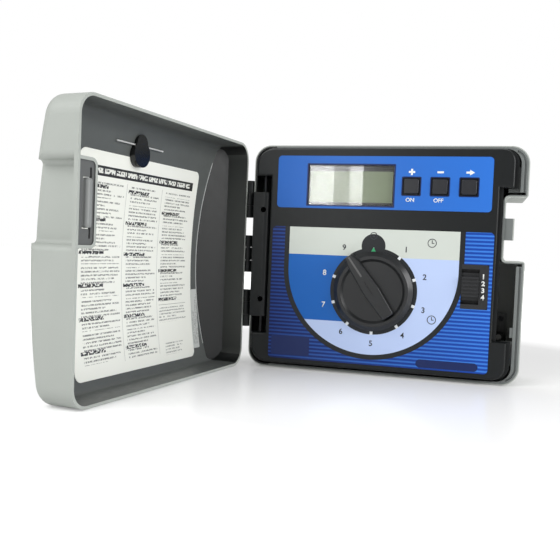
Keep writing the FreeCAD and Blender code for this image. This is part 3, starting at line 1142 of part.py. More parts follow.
def make_rear_cover():
    cover = Piece("rear_cover")
    cover.pad("front", "module_back - cover_thick", "cover_thick",
              box_loop("cover_left", "module_notch_x", "module_bottom + 1", "module_top - 1"))
    box_left, box_right = "cover_left + cover_inset", "module_notch_x - cover_inset"
    box_low, box_high = "module_bottom + 1 + cover_inset", "module_top - 1 - cover_inset"
    cover.pad("front", "module_back - cover_thick - cover_box_depth", "cover_box_depth + 0.1",
              box_loop(box_left, box_right, box_low, box_high))
    cover.round("6", corner_edges(box_left, box_right, box_low, box_high))
    cover.cut("front", "module_back - cover_box_depth", "cover_box_depth + 1",
              box_loop(f"{box_left} + cover_thick", f"{box_right} - cover_thick",
                       f"{box_low} + cover_thick", f"{box_high} - cover_thick"))
    cover.cut("front", "module_back - cover_thick - 1", "cover_thick + 2",
              *[Ring(x, z, "screw_radius + 0.2") for x, z in COVER_BOSSES])
    # window for the flat-cable socket, which faces the wall and rests inside on its flange
    rear = "module_back - cover_thick - cover_box_depth"
    cover.cut("front", f"{rear} - 1", "cover_thick + 2",
              box_loop("socket_x - socket_length / 2 - gap", "socket_x + socket_length / 2 + gap",
                       "socket_z - socket_width / 2 - gap", "socket_z + socket_width / 2 + gap"))
    node(cover.body)
    shell, hollow = socket("module_socket", "socket_x", "socket_z", rear,
                           f"{rear} - 1", f"{rear} + socket_height - 2")
    flange = block("module_socket_flange", "socket_x - socket_length / 2 - 2",
                   "socket_x + socket_length / 2 + 2", f"{rear} + cover_thick", f"{rear} + cover_thick + 1.2",
                   "socket_z - socket_width / 2 - 2", "socket_z + socket_width / 2 + 2")
    node(cut("module_socket", fuse("module_socket_blank", shell, flange), hollow))
    items = []
    for index, (x, z) in enumerate(COVER_BOSSES, start=1):
        stem = f"cover_screw_{index}"
        seat = "module_back - cover_thick"
        shank = rod(stem + "_shank", "front", "screw_radius", "screw_radius * 5.4", x, f"{seat} - 0.5", z)
        head = rod(stem + "_head", "front", "screw_radius * 1.9", "screw_radius * 1.2", x,
                   f"{seat} - screw_radius * 1.2", z)
        items.append(fuse(stem, shank, head))
    node(group("cover_screws", items))
    floor = "module_back - cover_box_depth"
    battery = Piece("battery")
    battery.pad("front", floor, "battery_thick",
                box_loop("battery_x - battery_width / 2", "battery_x + battery_width / 2",
                         "battery_z - battery_height / 2", "battery_z + battery_height / 2"))
    battery.round("2", lambda edge: runs_along(edge, ALONG_X))
    studs = [rod(f"battery_stud_{side + 2}", "right", "2.6", "2.4", "battery_x + battery_width / 2",
                 f"{floor} + battery_thick / 2", f"battery_z + {side} * 6.3") for side in (-1, 1)]
    node(fuse("battery_cell", battery.body, *studs))
    clip = Piece("battery_clip")
    clip.pad("front", floor, "battery_thick",
             box_loop("battery_x - battery_width / 2 - 2", "battery_x + battery_width / 2 + 6",
                      "battery_z - battery_height / 2 - 2", "battery_z + battery_height / 2 + 2"))
    clip.cut("front", f"{floor} - 1", "battery_thick + 2",
             box_loop("battery_x - battery_width / 2", "battery_x + battery_width / 2 + 2.8",
                      "battery_z - battery_height / 2", "battery_z + battery_height / 2"))
    node(clip.body)


# ---------------------------------------------------------------- keys, dial and slider

def make_keys():
    for label, step in KEYS:
        x = f"key_first_x + {step} * key_pitch"
        half = "key_size / 2"
        key = Piece(label)
        flange_front = "module_front - module_skin - gap"
        key.pad("front", flange_front, "module_skin + gap + key_proud",
                box_loop(f"{x} - {half}", f"{x} + {half}", f"key_z - {half}", f"key_z + {half}"))
        key.round("2", corner_edges(f"{x} - {half}", f"{x} + {half}", f"key_z - {half}", f"key_z + {half}"))
        key.round("0.8", key_top)
        key.pad("front", f"{flange_front} - key_flange_thick", "key_flange_thick",
                box_loop(f"{x} - {half} - key_flange", f"{x} + {half} + key_flange",
                         f"key_z - {half} - key_flange", f"key_z + {half} + key_flange"))
        node(key.body)


def key_top(edge):
    box = edge.BoundBox
    level = number("module_front + key_proud")
    return abs(-box.YMax - level) < 0.01 and abs(-box.YMin - level) < 0.01


def make_dial():
    """The programme dial: a skirt, a bevelled ring and a bar grip that reaches past the ring at one end."""
    base = f"{DIAL_LEVEL} + dial_gap"
    knob = Piece("dial_turned")
    knob_profile = Loop(("0", f"{base} - 2"), ("hub_radius", f"{base} - 2"), ("hub_radius", base),
                        ("knob_radius - 1", base), ("knob_radius", f"{base} + 1"),
                        ("knob_radius", f"{base} + skirt_height"),
                        ("knob_radius - knob_bevel", f"{base} + skirt_height + knob_bevel"),
                        ("knob_face_radius + 2.6", f"{base} + skirt_height + knob_bevel"),
                        ("knob_face_radius", f"{base} + skirt_height + knob_bevel - 2.4"),
                        ("0", f"{base} + skirt_height + knob_bevel - 2.4"))
    knob_sketch = knob.sketch("top", "0", [knob_profile])
    turned = knob.body.newObject("PartDesign::Revolution", "dial_revolve")
    turned.Profile = knob_sketch
    turned.ReferenceAxis = (knob_sketch, ["V_Axis"])
    turned.Angle = 360
    knob.body.Tip = turned
    knob.body.Placement = Placement(Vector(0, 0, 0), Rotation(Vector(0, 0, 1), 180))
    bind(knob.body, "Placement.Base.x", "dial_x")
    bind(knob.body, "Placement.Base.z", "dial_z")
    grip = Piece("dial_grip")
    top = f"{base} + skirt_height + knob_bevel + grip_height - 2.4"
    grip.pad("front", base, f"({top}) - ({base})",
             Loop(("-grip_tail", "-grip_width / 2 + 1"), ("0", "-grip_width / 2 - 1"),
                  ("grip_reach * 0.8", "-grip_width / 2 + 1"), ("grip_reach", "-grip_width * 0.28"),
                  ("grip_reach", "grip_width * 0.28"), ("grip_reach * 0.8", "grip_width / 2 - 1"),
                  ("0", "grip_width / 2 + 1"), ("-grip_tail", "grip_width / 2 - 1")))
    grip.round("2.4", lambda edge: runs_along(edge, ALONG_Y) and near(edge.CenterOfMass.x, "-grip_tail"))
    grip.round("1.6", lambda edge: abs(-edge.BoundBox.YMax - number(top)) < 0.01
               and abs(-edge.BoundBox.YMin - number(top)) < 0.01)
    grip.cut("front", f"{top} - 0.8", "2", box_loop("-grip_tail * 0.1", "grip_reach * 0.3", "-0.9", "0.9"))
    turn = Rotation(Vector(0, -1, 0), number("pointer_angle"))
    grip.body.Placement = Placement(Vector(0, 0, 0), turn)
    bind(grip.body, "Placement.Rotation.Angle", "pointer_angle")
    bind(grip.body, "Placement.Base.x", "dial_x")
    bind(grip.body, "Placement.Base.z", "dial_z")
    bore = rod("dial_bore", "front", "shaft_radius", "6", "dial_x", f"{base} - 3", "dial_z")
    groove = Piece("pointer_groove")
    groove.pad("front", f"{top} - 0.8", "3", box_loop("grip_reach * 0.42", "grip_reach - 1.6", "-0.9", "0.9"))
    groove.body.Placement = Placement(Vector(0, 0, 0), turn)
    bind(groove.body, "Placement.Rotation.Angle", "pointer_angle")
    bind(groove.body, "Placement.Base.x", "dial_x")
    bind(groove.body, "Placement.Base.z", "dial_z")
    node(cut("dial_knob", fuse("dial_blank", knob.body, grip.body), fuse("dial_cuts", bore, groove.body)))
    line = Piece("dial_pointer")
    line.pad("front", f"{top} - 0.8", "0.85",
             box_loop("grip_reach * 0.42", "grip_reach - 1.6", "-0.9", "0.9"))
    line.body.Placement = Placement(Vector(0, 0, 0), turn)
    bind(line.body, "Placement.Rotation.Angle", "pointer_angle")
    bind(line.body, "Placement.Base.x", "dial_x")
    bind(line.body, "Placement.Base.z", "dial_z")
    node(line.body)
    node(rod("dial_shaft", "front", "shaft_radius", f"{base} + 3 - board_level - board_thick - 1.4",
             "dial_x", "board_level + board_thick + 1.4", "dial_z"))


def make_slider():
    """The four-place slider: a ribbed cap in the window, a plate behind it and a stem in the switch."""
    cap = Piece("slider_cap")
    half_w = "(slider_window_width / 2 - gap)"
    cap.pad("front", "module_front - module_skin - gap", "module_skin + gap + slider_proud - 1.2",
            box_loop(f"slider_x - {half_w}", f"slider_x + {half_w}",
                     "slider_z - slider_length / 2", "slider_z + slider_length / 2"))
    rib = cap.pad("front", "module_front + slider_proud - 1.3", "1.3",
                  box_loop(f"slider_x - {half_w}", f"slider_x + {half_w}",
                           "slider_z - slider_length / 2", "slider_z - slider_length / 2 + 1.7"))
    row = cap.body.newObject("PartDesign::LinearPattern", "slider_rib_row")
    row.Originals = [rib]
    row.Direction = (rib.Profile[0], ["V_Axis"])
    bind(row, "Length", "slider_length - 1.7")
    bind(row, "Occurrences", "slider_ribs")
    cap.body.Tip = row
    plate = block("slider_foot", "slider_x - slider_window_width / 2 - 1.6",
                  "slider_x + slider_window_width / 2 + 1.6",
                  "module_front - module_skin - gap - 1.4", "module_front - module_skin - gap",
                  "slider_z - slider_length / 2 - 4", "slider_z + slider_length / 2 + 4")
    stem = block("slider_stem", "slider_x - 1.9", "slider_x + 1.9", "board_level + board_thick + 1.4",
                 "module_front - module_skin - gap - 1", "slider_z - 3", "slider_z + 3")
    node(fuse("program_slider", cap.body, plate, stem))


make_cabinet()
make_hinge_strip()
make_transformer()
make_power_parts()
make_station_board()
make_door()
make_latch()
make_door_papers()
make_module_frame()
make_panels()
make_screen()
make_board()
make_rear_cover()
make_keys()
make_dial()
make_slider()
doc.recompute()

os.makedirs("parts", exist_ok=True)
faults = [item.Name for item in doc.Objects if "Invalid" in item.State or "Error" in item.State]
for item in NODES:
    shape = item.Shape
    if shape.isNull() or not shape.isValid() or not shape.Solids:
        faults.append(item.Label)
if faults:
    raise RuntimeError("features that failed: " + ", ".join(faults))
for item in NODES:
    item.Shape.exportStep(f"parts/{item.Label}.step")
print(len(NODES), "pieces written")
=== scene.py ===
# %% [markdown]
# An irrigation controller: a wall cabinet whose domed door stands open on the left, with a black
# control module that carries a screen, three keys, a slider and a big dial. The solid pieces come
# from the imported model, so this script gives them their finishes, prints the panel's marks and
# lights the scene. A learner can read it from the top, one cell at a time.

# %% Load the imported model
import math
import bpy
from mathutils import Matrix, Vector


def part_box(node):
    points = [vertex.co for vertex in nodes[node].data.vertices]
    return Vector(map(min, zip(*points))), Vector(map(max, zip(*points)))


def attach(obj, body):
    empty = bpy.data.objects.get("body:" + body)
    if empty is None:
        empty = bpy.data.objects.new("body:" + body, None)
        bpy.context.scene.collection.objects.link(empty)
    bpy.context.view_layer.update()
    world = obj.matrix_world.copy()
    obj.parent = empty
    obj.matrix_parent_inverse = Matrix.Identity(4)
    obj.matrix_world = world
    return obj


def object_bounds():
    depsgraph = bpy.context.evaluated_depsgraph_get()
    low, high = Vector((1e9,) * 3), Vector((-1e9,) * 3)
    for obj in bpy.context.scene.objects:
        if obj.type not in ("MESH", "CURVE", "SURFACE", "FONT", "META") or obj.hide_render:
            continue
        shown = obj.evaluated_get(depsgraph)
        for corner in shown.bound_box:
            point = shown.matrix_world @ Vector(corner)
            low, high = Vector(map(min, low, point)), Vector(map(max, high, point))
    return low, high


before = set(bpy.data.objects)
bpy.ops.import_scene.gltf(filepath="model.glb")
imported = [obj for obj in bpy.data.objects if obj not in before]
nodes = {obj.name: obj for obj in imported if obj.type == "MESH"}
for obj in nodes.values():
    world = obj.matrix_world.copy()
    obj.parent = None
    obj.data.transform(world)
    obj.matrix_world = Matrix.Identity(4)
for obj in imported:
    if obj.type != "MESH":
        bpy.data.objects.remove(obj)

cad_box = [list(corner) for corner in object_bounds()]
print("pieces loaded:", len(nodes), "box:", cad_box)

# %% [markdown]
# The camera stands in front and a little to the right, and looks slightly left and down, so the
# inside of the door shows. A rotation is easiest to state as two directions: where the camera
# looks, and which way is up. The third is their cross product.

# %% Camera
LOOK, UP = Vector((-0.26, 0.9646, -0.0436)), Vector((-0.0505, 0.0315, 0.9982))
side = LOOK.cross(UP).normalized()
UP = side.cross(LOOK).normalized()
bpy.ops.object.camera_add(location=(0.0963, -0.8413, 0.009))
camera = bpy.context.object
camera.rotation_euler = Matrix((side, UP, -LOOK.normalized())).transposed().to_euler()
camera.data.lens = 46.55
camera.data.clip_start = 0.01
bpy.context.scene.camera = camera
bpy.context.scene.view_settings.view_transform = "Standard"
print("camera at", tuple(round(v, 3) for v in camera.location))

# %% [markdown]
# Shader maths reads best as ordinary sums. A Signal wraps one output of a node, and adding or
# comparing two of them makes the Math node that does it. A Finish is one material around a
# Principled shader, with one method that makes any other node.


# %% Signals and finishes
class Signal:
    """One output socket of a shader node, with arithmetic."""

    def __init__(self, finish, socket):
        self.finish = finish
        self.socket = socket

    def math(self, operation, *others):
        inputs = dict(enumerate((self,) + others))
        return self.finish.node("ShaderNodeMath", {"operation": operation}, inputs)

    def __add__(self, other):
        return self.math("ADD", other)

    __radd__ = __add__

    def __sub__(self, other):
        return self.math("SUBTRACT", other)

    def __rsub__(self, other):
        return self.math("MULTIPLY", -1.0) + other

    def __mul__(self, other):
        return self.math("MULTIPLY", other)

    __rmul__ = __mul__

    def __abs__(self):
        return self.math("ABSOLUTE")

    def __lt__(self, other):
        return self.math("LESS_THAN", other)

    def __gt__(self, other):
        return self.math("GREATER_THAN", other)


class Finish:
    """One material: a Principled shader and the nodes that feed it."""

    def __init__(self, name, colour, roughness=0.5, metallic=0.0, **constants):
        self.material = bpy.data.materials.new(name)
        self.material.use_nodes = True
        self.tree = self.material.node_tree
        self.shader = self.tree.nodes["Principled BSDF"]
        self.colour = (*colour, 1.0)
        self.set("Base Color", self.colour)
        self.set("Roughness", roughness)
        self.set("Metallic", metallic)
        for field, value in constants.items():
            self.set(field.replace("_", " "), value)

    def node(self, kind, settings, inputs, output=0):
        made = self.tree.nodes.new(kind)
        for field, value in settings.items():
            setattr(made, field, value)
        for key, value in inputs.items():
            self.feed(made.inputs[key], value)
        return Signal(self, made.outputs[output])

    def feed(self, socket, value):
        if isinstance(value, Signal):
            self.tree.links.new(value.socket, socket)
        else:
            socket.default_value = value

    def set(self, field, value):
        self.feed(self.shader.inputs[field], value)

    def object_place(self, scale=1000.0):
        """Object coordinates, in millimetres unless another scale is given."""
        spot = self.node("ShaderNodeTexCoord", {}, {}, "Object")
        return self.node("ShaderNodeVectorMath", {"operation": "SCALE"}, {0: spot, "Scale": scale})

    def axes(self, vector):
        return [self.node("ShaderNodeSeparateXYZ", {}, {0: vector}, i) for i in range(3)]

    def noise(self, size_mm, detail=3.0, stretch=(1.0, 1.0, 1.0)):
        """Noise whose lumps are about that many millimetres across, from 0 to 1."""
        place = self.node("ShaderNodeVectorMath", {"operation": "MULTIPLY"},
                          {0: self.object_place(), 1: stretch})
        return self.node("ShaderNodeTexNoise", {}, {"Vector": place, "Scale": 1.0 / size_mm,
                                                    "Detail": detail})

    def mix(self, mask, under, over):
        under, over = [(*c, 1.0) if isinstance(c, tuple) and len(c) == 3 else c
                       for c in (under, over)]
        return self.node("ShaderNodeMix", {"data_type": "RGBA"}, {0: mask, 6: under, 7: over}, 2)

    def bump(self, height, distance_mm, strength=0.5):
        self.set("Normal", self.node("ShaderNodeBump", {}, {
            "Height": height, "Distance": distance_mm / 1000.0, "Strength": strength}))


def between(value, low, high):
    return (value > low) * (value < high)


# %% [markdown]
# Lamps and world. Soft light comes from a large lamp on the left, one on the right that shines
# into the open door, one above and behind, which draws the floor's shadow forward, and the white
# world. The floor and the world look pure white to the camera and in reflections, but
# no brighter than paper to everything else, so the object keeps its own colours.

# %% Stage and light
FLOOR_Z = cad_box[0][2]


def soft_lamp(name, place, aim, width, height, power):
    bpy.ops.object.light_add(type="AREA", location=place)
    lamp = bpy.context.object
    lamp.name = name
    lamp.data.shape = "RECTANGLE"
    lamp.data.size = width
    lamp.data.size_y = height
    lamp.data.energy = power
    lamp.rotation_euler = (Vector(aim) - Vector(place)).to_track_quat("-Z", "Y").to_euler()
    return lamp


soft_lamp("key_lamp", (-0.75, -1.25, 1.05), (0.0, -0.1, 0.0), 1.0, 0.8, 16.0)
soft_lamp("fill_lamp", (1.45, -0.55, 0.5), (-0.1, -0.2, 0.0), 0.9, 0.9, 17.0)
soft_lamp("top_lamp", (0.0, 0.5, 1.4), (0.0, -0.1, 0.0), 1.4, 1.0, 10.0)
# three narrow cards of light that the display mirrors: bright, dim, bright
SCREEN = (-0.035, -0.083, 0.078)
LIGHT_CARDS = (("card_left", -0.312, 0.066, 0.55), ("card_middle", -0.257, 0.044, 0.12),
               ("card_right", -0.218, 0.034, 0.25))
for name, x, width, power in LIGHT_CARDS:
    soft_lamp(name, (x, -1.22, 0.18), SCREEN, width, 0.14, power)

world = bpy.data.worlds.new("white_room")
bpy.context.scene.world = world
world.use_nodes = True
tree = world.node_tree
seen = tree.nodes.new("ShaderNodeLightPath")
strength = tree.nodes.new("ShaderNodeMapRange")
strength.inputs["To Min"].default_value = 0.36
strength.inputs["To Max"].default_value = 1.0
tree.links.new(seen.outputs["Is Camera Ray"], strength.inputs["Value"])
tree.nodes["Background"].inputs["Color"].default_value = (1.0, 1.0, 1.0, 1.0)
tree.links.new(strength.outputs["Result"], tree.nodes["Background"].inputs["Strength"])

bpy.ops.mesh.primitive_plane_add(size=14.0, location=(0.0, 0.0, FLOOR_Z - 0.0004))
floor = bpy.context.object
floor.name = "studio_floor"
glaze = Finish("white_floor", (0.86, 0.86, 0.86), 0.22)
glaze.set("Specular IOR Level", 0.22)
to_camera = glaze.node("ShaderNodeLightPath", {}, {}, "Is Camera Ray")
across, along, _ = glaze.axes(glaze.object_place(1.0))
far = (across * across + along * along).math("SQRT") * 3.0 - 1.0
far = far.math("MAXIMUM", 0.0).math("MINIMUM", 1.0)
glaze.set("Emission Color", (1.0, 1.0, 1.0, 1.0))
glaze.set("Emission Strength", to_camera * (far * 0.9 + 0.14))
floor.data.materials.append(glaze.material)
print("floor at", round(FLOOR_Z, 4))

# %% [markdown]
# Moulded plastic is never one flat value. Spark-eroded steel moulds leave a fine grain, the
# colour clouds slightly from pigment, and handled areas turn a little glossier. One helper gives
# the grain, the clouding and a gloss that varies at random, and every plain plastic piece uses it
# with its own colour and grain size.


# %% Moulded plastic
def clouded(finish, colour, amount=0.06, size_mm=14.0):
    """The colour with a slow, slight variation."""
    cloud = finish.noise(size_mm, 4.0)
    darker = tuple(c * (1.0 - amount) for c in colour)
    lighter = tuple(min(1.0, c * (1.0 + amount)) for c in colour)
    return finish.mix(cloud, darker, lighter)


def moulded(name, colour, roughness=0.45, grain_mm=0.45, depth_mm=0.02, strength=0.35, **constants):
    finish = Finish(name, colour, roughness, **constants)
    finish.set("Base Color", clouded(finish, colour))
    finish.set("Roughness", finish.noise(5.0, 2.0) * 0.12 + (roughness - 0.06))
    finish.bump(finish.noise(grain_mm, 2.0), depth_mm, strength)
    return finish


def dress(finish, *names):
    """Gives the finish to CAD nodes."""
    for name in names:
        slots = nodes[name].data.materials
        slots.clear()
        slots.append(finish.material)


# %% [markdown]
# The door is moulded in two tones: light grey outside and on the rim, dark grey within. One
# solid carries both, so the shader asks where a point lies. It first turns the point back
# about the hinge to where it would be on the closed door, and there simple limits on X, Y and Z
# tell inside from outside. Within, the slope and the wall beside the hinge get painted shade by
# the way they face, and a thin painted highlight lies along the crease at the slope's foot.

# %% Door and cabinet
HINGE = Vector((-0.1484, -0.0742, 0.0))
DOOR_TURN = math.radians(98.0)
HALF_WIDTH, HALF_HEIGHT, RIM_LEVEL = 143.5, 121.0, 75.3
CORNER, SKIN = 18.0, 2.6
SCOOP_DEPTH, SCOOP_LIP, SCOOP_MIDDLE, SCOOP_HALF = 11.0, 6.0, 37.5, 32.0
LIGHT_GREY, DARK_GREY, BAY_GREY = (0.415, 0.44, 0.41), (0.108, 0.116, 0.112), (0.125, 0.13, 0.128)
LIP_GREY, CHARCOAL = (0.17, 0.185, 0.18), (0.008, 0.0095, 0.010)
# the slope beside the hinge: where it starts and how it rises; the slope and the hinge wall
# get painted shade by the way they face, and a painted highlight lies along the crease at its foot
DOME_FOOT, DOME_RISE = 98.7, 30.0 / 39.0
SLOPE_FACES, WALL_FACES = 0.3, 0.9
HIGHLIGHT_HALF, HIGHLIGHT_END = 1.1, 22.0
SLOPE_PAINTED_SHADE, WALL_PAINTED_SHADE, CREASE_PAINTED_HIGHLIGHT = (0.011, 0.012, 0.012), (0.045, 0.048, 0.046), (0.50, 0.52, 0.51)
# the latch's bay in the door, and the hand notch with its tab in the cabinet
BAY_WIDE, BAY_DEEP, BAY_LOW, BAY_HIGH = 24.5, 3.6, 1.0, 74.0
NOTCH_WIDE, NOTCH_LOW, NOTCH_HIGH = 22.3, 4.2, 70.8
TAB_WIDE, TAB_DEEP, TAB_LOW, TAB_HIGH = 13.2, 12.0, 26.0, 49.0
CABINET_SKIN, FLOOR_SKIN, STRIP_WIDE = 1.1, 4.0, 24.0


def closed_door(finish, output="Object", scale=1000.0):
    """Coordinates of a door point as if the door were closed, in millimetres."""
    spot = finish.node("ShaderNodeTexCoord", {}, {}, output)
    centre = tuple(HINGE) if output == "Object" else (0.0, 0.0, 0.0)
    turned = finish.node("ShaderNodeVectorRotate", {"rotation_type": "Z_AXIS"},
                         {"Vector": spot, "Center": centre, "Angle": DOOR_TURN})
    return finish.axes(finish.node("ShaderNodeVectorMath", {"operation": "SCALE"},
                                   {0: turned, "Scale": scale}))


def rounded_box(x, z, left, right, low, high, corner):
    """A mask that is 1 inside a rectangle with round corners."""
    dx = (abs(x - (left + right) / 2) - ((right - left) / 2 - corner)).math("MAXIMUM", 0.0)
    dz = (abs(z - (low + high) / 2) - ((high - low) / 2 - corner)).math("MAXIMUM", 0.0)
    return (dx * dx + dz * dz).math("SQRT") < corner


def outline_box(x, z, inset):
    """A mask that is 1 inside the cabinet's outline, pulled in on every side."""
    wide, high = HALF_WIDTH - inset, HALF_HEIGHT - inset
    return rounded_box(x, z, -wide, wide, -high, high, CORNER - inset)


def scoop_box(x, z, inset):
    """A mask that is 1 in the free edge's finger scoop and its round lips, grown by the inset."""
    from_middle = abs(z - SCOOP_MIDDLE)
    lip_x = HALF_WIDTH - SCOOP_LIP
    dx, dz = x - lip_x, from_middle - (SCOOP_HALF + SCOOP_LIP)
    lip = ((dx * dx + dz * dz).math("SQRT") > SCOOP_LIP - inset) * (dx > 0.0) * (dz < 0.0)
    middle = (x > HALF_WIDTH - SCOOP_DEPTH - inset) * (from_middle < SCOOP_HALF + inset)
    return middle.math("MAXIMUM", lip)


def door_finish():
    finish = Finish("door_plastic", LIGHT_GREY, 0.42, Specular_IOR_Level=0.3)
    x, y, z = closed_door(finish)
    facing = closed_door(finish, "Normal", 1.0)
    lean = facing[1]
    # painted shade on faces that point one way, the slope and the hinge wall; painted highlight on a
    # thin line along the crease
    shaded_slope = facing[0] > SLOPE_FACES
    shaded_hinge_wall = facing[0] > WALL_FACES
    from_crease = abs(-1.0 * y - (DOME_FOOT + (x + HALF_WIDTH - SKIN) * DOME_RISE))
    crease_highlight = (from_crease < HIGHLIGHT_HALF) * (1.0 - shaded_slope) * (abs(z) < HALF_HEIGHT - HIGHLIGHT_END)
    outside = scoop_box(x, z, SKIN / 2) * (y < -RIM_LEVEL - 2.5)
    within = outline_box(x, z, SKIN / 2) * (y < -RIM_LEVEL - 0.2) * (lean > -0.35) * (1.0 - outside)
    bay = (x > HALF_WIDTH - BAY_WIDE) * between(z, BAY_LOW, BAY_HIGH) * (y > -RIM_LEVEL - BAY_DEEP)
    outer, inner = clouded(finish, LIGHT_GREY, 0.04, 30.0), clouded(finish, DARK_GREY, 0.08)
    tone = finish.mix(within, outer, inner)
    # painted shade on the slope and the hinge wall, then the painted highlight along the crease
    tone = finish.mix(shaded_slope * within, tone, (*SLOPE_PAINTED_SHADE, 1.0))
    tone = finish.mix(shaded_hinge_wall * within, tone, (*WALL_PAINTED_SHADE, 1.0))
    tone = finish.mix(crease_highlight * within, tone, (*CREASE_PAINTED_HIGHLIGHT, 1.0))
    tone = finish.mix(bay * within, tone, (*BAY_GREY, 1.0))
    finish.set("Base Color", finish.mix(x < -HALF_WIDTH - 0.05, tone, (*CHARCOAL, 1.0)))
    finish.set("Roughness", finish.noise(6.0, 2.0) * 0.14 + 0.34)
    finish.bump(finish.noise(0.5, 2.0), 0.03, 0.35)
    return finish


def cabinet_finish():
    """Light grey outside, darker on the lips and within, darkest behind the hinge strip."""
    finish = Finish("cabinet_plastic", LIGHT_GREY, 0.42)
    x, y, z = finish.axes(finish.object_place())
    notch = (x > HALF_WIDTH - NOTCH_WIDE) * between(z, NOTCH_LOW, NOTCH_HIGH)
    within = outline_box(x, z, CABINET_SKIN) * (y < -FLOOR_SKIN) * (1.0 - notch)
    tab = notch * (x < HALF_WIDTH - TAB_WIDE) * between(z, TAB_LOW, TAB_HIGH)
    tab = tab * (y < -RIM_LEVEL + TAB_DEEP)
    within = within.math("MAXIMUM", tab)
    inner = finish.mix(x < -HALF_WIDTH + STRIP_WIDE, clouded(finish, LIP_GREY, 0.05), (*CHARCOAL, 1.0))
    finish.set("Base Color", finish.mix(within, clouded(finish, LIGHT_GREY, 0.04, 30.0), inner))
    finish.set("Roughness", finish.noise(6.0, 2.0) * 0.14 + 0.34)
    finish.bump(finish.noise(0.5, 2.0), 0.03, 0.35)
    return finish


dress(door_finish(), "door_shell")
dress(cabinet_finish(), "cabinet_housing")
dress(moulded("latch_plastic", (0.24, 0.25, 0.245), 0.38), "door_latch")

# %% [markdown]
# Inside the door lies a laminated instruction card. Its columns of small print are drawn as
# rows of dashes, with no letters: a row is a band in height, and noise along the row breaks it
# into word lengths. Everything is measured in millimetres on the closed door: across from the
# card's own edge, up from the door's middle.


# %% Card and wiring label
def letters(finish, across, up, size, seed, share=0.42):
    """Small blots as large as letters, as a mask."""
    spot = finish.node("ShaderNodeCombineXYZ", {},
                       {0: across * (1.0 / size), 1: up * (1.0 / size), 2: seed})
    return finish.node("ShaderNodeTexNoise", {}, {"Vector": spot, "Scale": 1.0, "Detail": 0.0}) > share


def word_rows(finish, across, up, left, right, low, high, pitch, seed):
    """Rows of word-like dashes within a rectangle, as a mask."""
    row = (up * (1.0 / pitch)).math("FLOOR")
    phase = (up * (1.0 / pitch)).math("FRACT")
    reach = finish.node("ShaderNodeTexWhiteNoise", {"noise_dimensions": "1D"},
                        {"W": row + seed}, "Value")
    spot = finish.node("ShaderNodeCombineXYZ", {}, {0: across * 0.4, 1: row * 3.7, 2: seed})
    words = finish.node("ShaderNodeTexNoise", {}, {"Vector": spot, "Scale": 1.0, "Detail": 1.0})
    end = right - reach.math("POWER", 2.0) * (right - left) * 0.5
    inside = (across > left) * (across < end) * between(up, low, high)
    dashes = inside * between(phase, 0.26, 0.72) * (words > 0.39)
    return dashes * letters(finish, across, up, 1.3, seed)


CARD_EDGE, HEAD_LETTER, TITLE_LETTER = 95.0, 1.9, 2.3
# each column of the card: left edge, right edge, the seed of its noise, how far down it goes
CARD_COLUMNS = ((10.0, 68.0, 3.0, -100.0), (74.0, 126.0, 11.0, -100.0), (133.0, 184.0, 23.0, -49.0))
COLUMN_TOP, HEADING_WIDE, BLOCK_PITCH, ROW_PITCH = 60.0, 34.0, 28.7, 3.2
CARD_RULES, RULE_THICK = (71.0, 129.5), 0.5


def card_finish():
    paper = (0.94, 0.95, 0.875)
    finish = Finish("card_paper", paper, 0.38, Coat_Roughness=0.2)
    finish.set("Coat Weight", 0.25)
    x, y, z = closed_door(finish)
    across = CARD_EDGE - x
    gaps = (across * (1.0 / 17.0)).math("FRACT") > 0.12
    title = between(z, 67.4, 71.8) * between(across, 16.0, 180.0) * gaps
    title = title * letters(finish, across, z, TITLE_LETTER, 31.0, 0.40)
    ink = between(z, 65.2, 73.8) * between(across, 8.0, 186.0) * (1.0 - title * 0.9)
    for left, right, seed, low in CARD_COLUMNS:
        block = (z * (1.0 / BLOCK_PITCH) + seed * 0.13).math("FRACT")
        heading = between(block, 0.30, 0.41) * between(z, low, COLUMN_TOP)
        rows = word_rows(finish, across, z, left + 3.5, right, low, COLUMN_TOP, ROW_PITCH, seed)
        ink = ink.math("MAXIMUM", rows * (1.0 - heading) * between(block, 0.0, 0.93) * 0.72)
        wide = between(across, left, left + HEADING_WIDE)
        head_ink = heading * wide * letters(finish, across, z, HEAD_LETTER, seed, 0.44)
        ink = ink.math("MAXIMUM", head_ink)
    # under the last column: a level rule and two short groups of rows
    left, right = CARD_COLUMNS[2][:2]
    ink = ink.math("MAXIMUM", between(across, left, right) * between(z, -52.6, -52.1) * 0.6)
    upper = word_rows(finish, across, z, left, right, -70.0, -55.0, 3.0, 41.0)
    lower = word_rows(finish, across, z, left + 8.0, right - 8.0, -103.0, -91.0, 3.0, 43.0)
    for rows in (upper, lower):
        ink = ink.math("MAXIMUM", rows * 0.6)
    for rule in CARD_RULES:
        upright = between(across, rule, rule + RULE_THICK) * between(z, -100.0, 62.0)
        ink = ink.math("MAXIMUM", upright * 0.5)
    finish.set("Base Color", finish.mix(ink, clouded(finish, paper, 0.02, 40.0), (0.03, 0.03, 0.03)))
    finish.bump(finish.noise(9.0, 1.0), 0.15, 0.12)
    return finish


def label_finish():
    paper = (0.56, 0.58, 0.56)
    finish = Finish("label_paper", paper, 0.6)
    x, y, z = closed_door(finish)
    rows = word_rows(finish, z, x, -98.0, -44.0, -113.0, -103.0, 3.0, 4.0)
    finish.set("Base Color", finish.mix(rows * 0.6, clouded(finish, paper, 0.04), (0.12, 0.12, 0.12)))
    return finish


dress(card_finish(), "instruction_card")
dress(label_finish(), "wiring_label")
dress(moulded("peg_plastic", (0.008, 0.009, 0.009), 0.2), "card_peg")


# %% [markdown]
# Metal parts: bright wire, plated screws and pins, and the laminated iron core. Brushed metal
# shows fine lines along one direction, which is noise stretched along an axis; plated screws
# only need a slight unevenness of gloss.

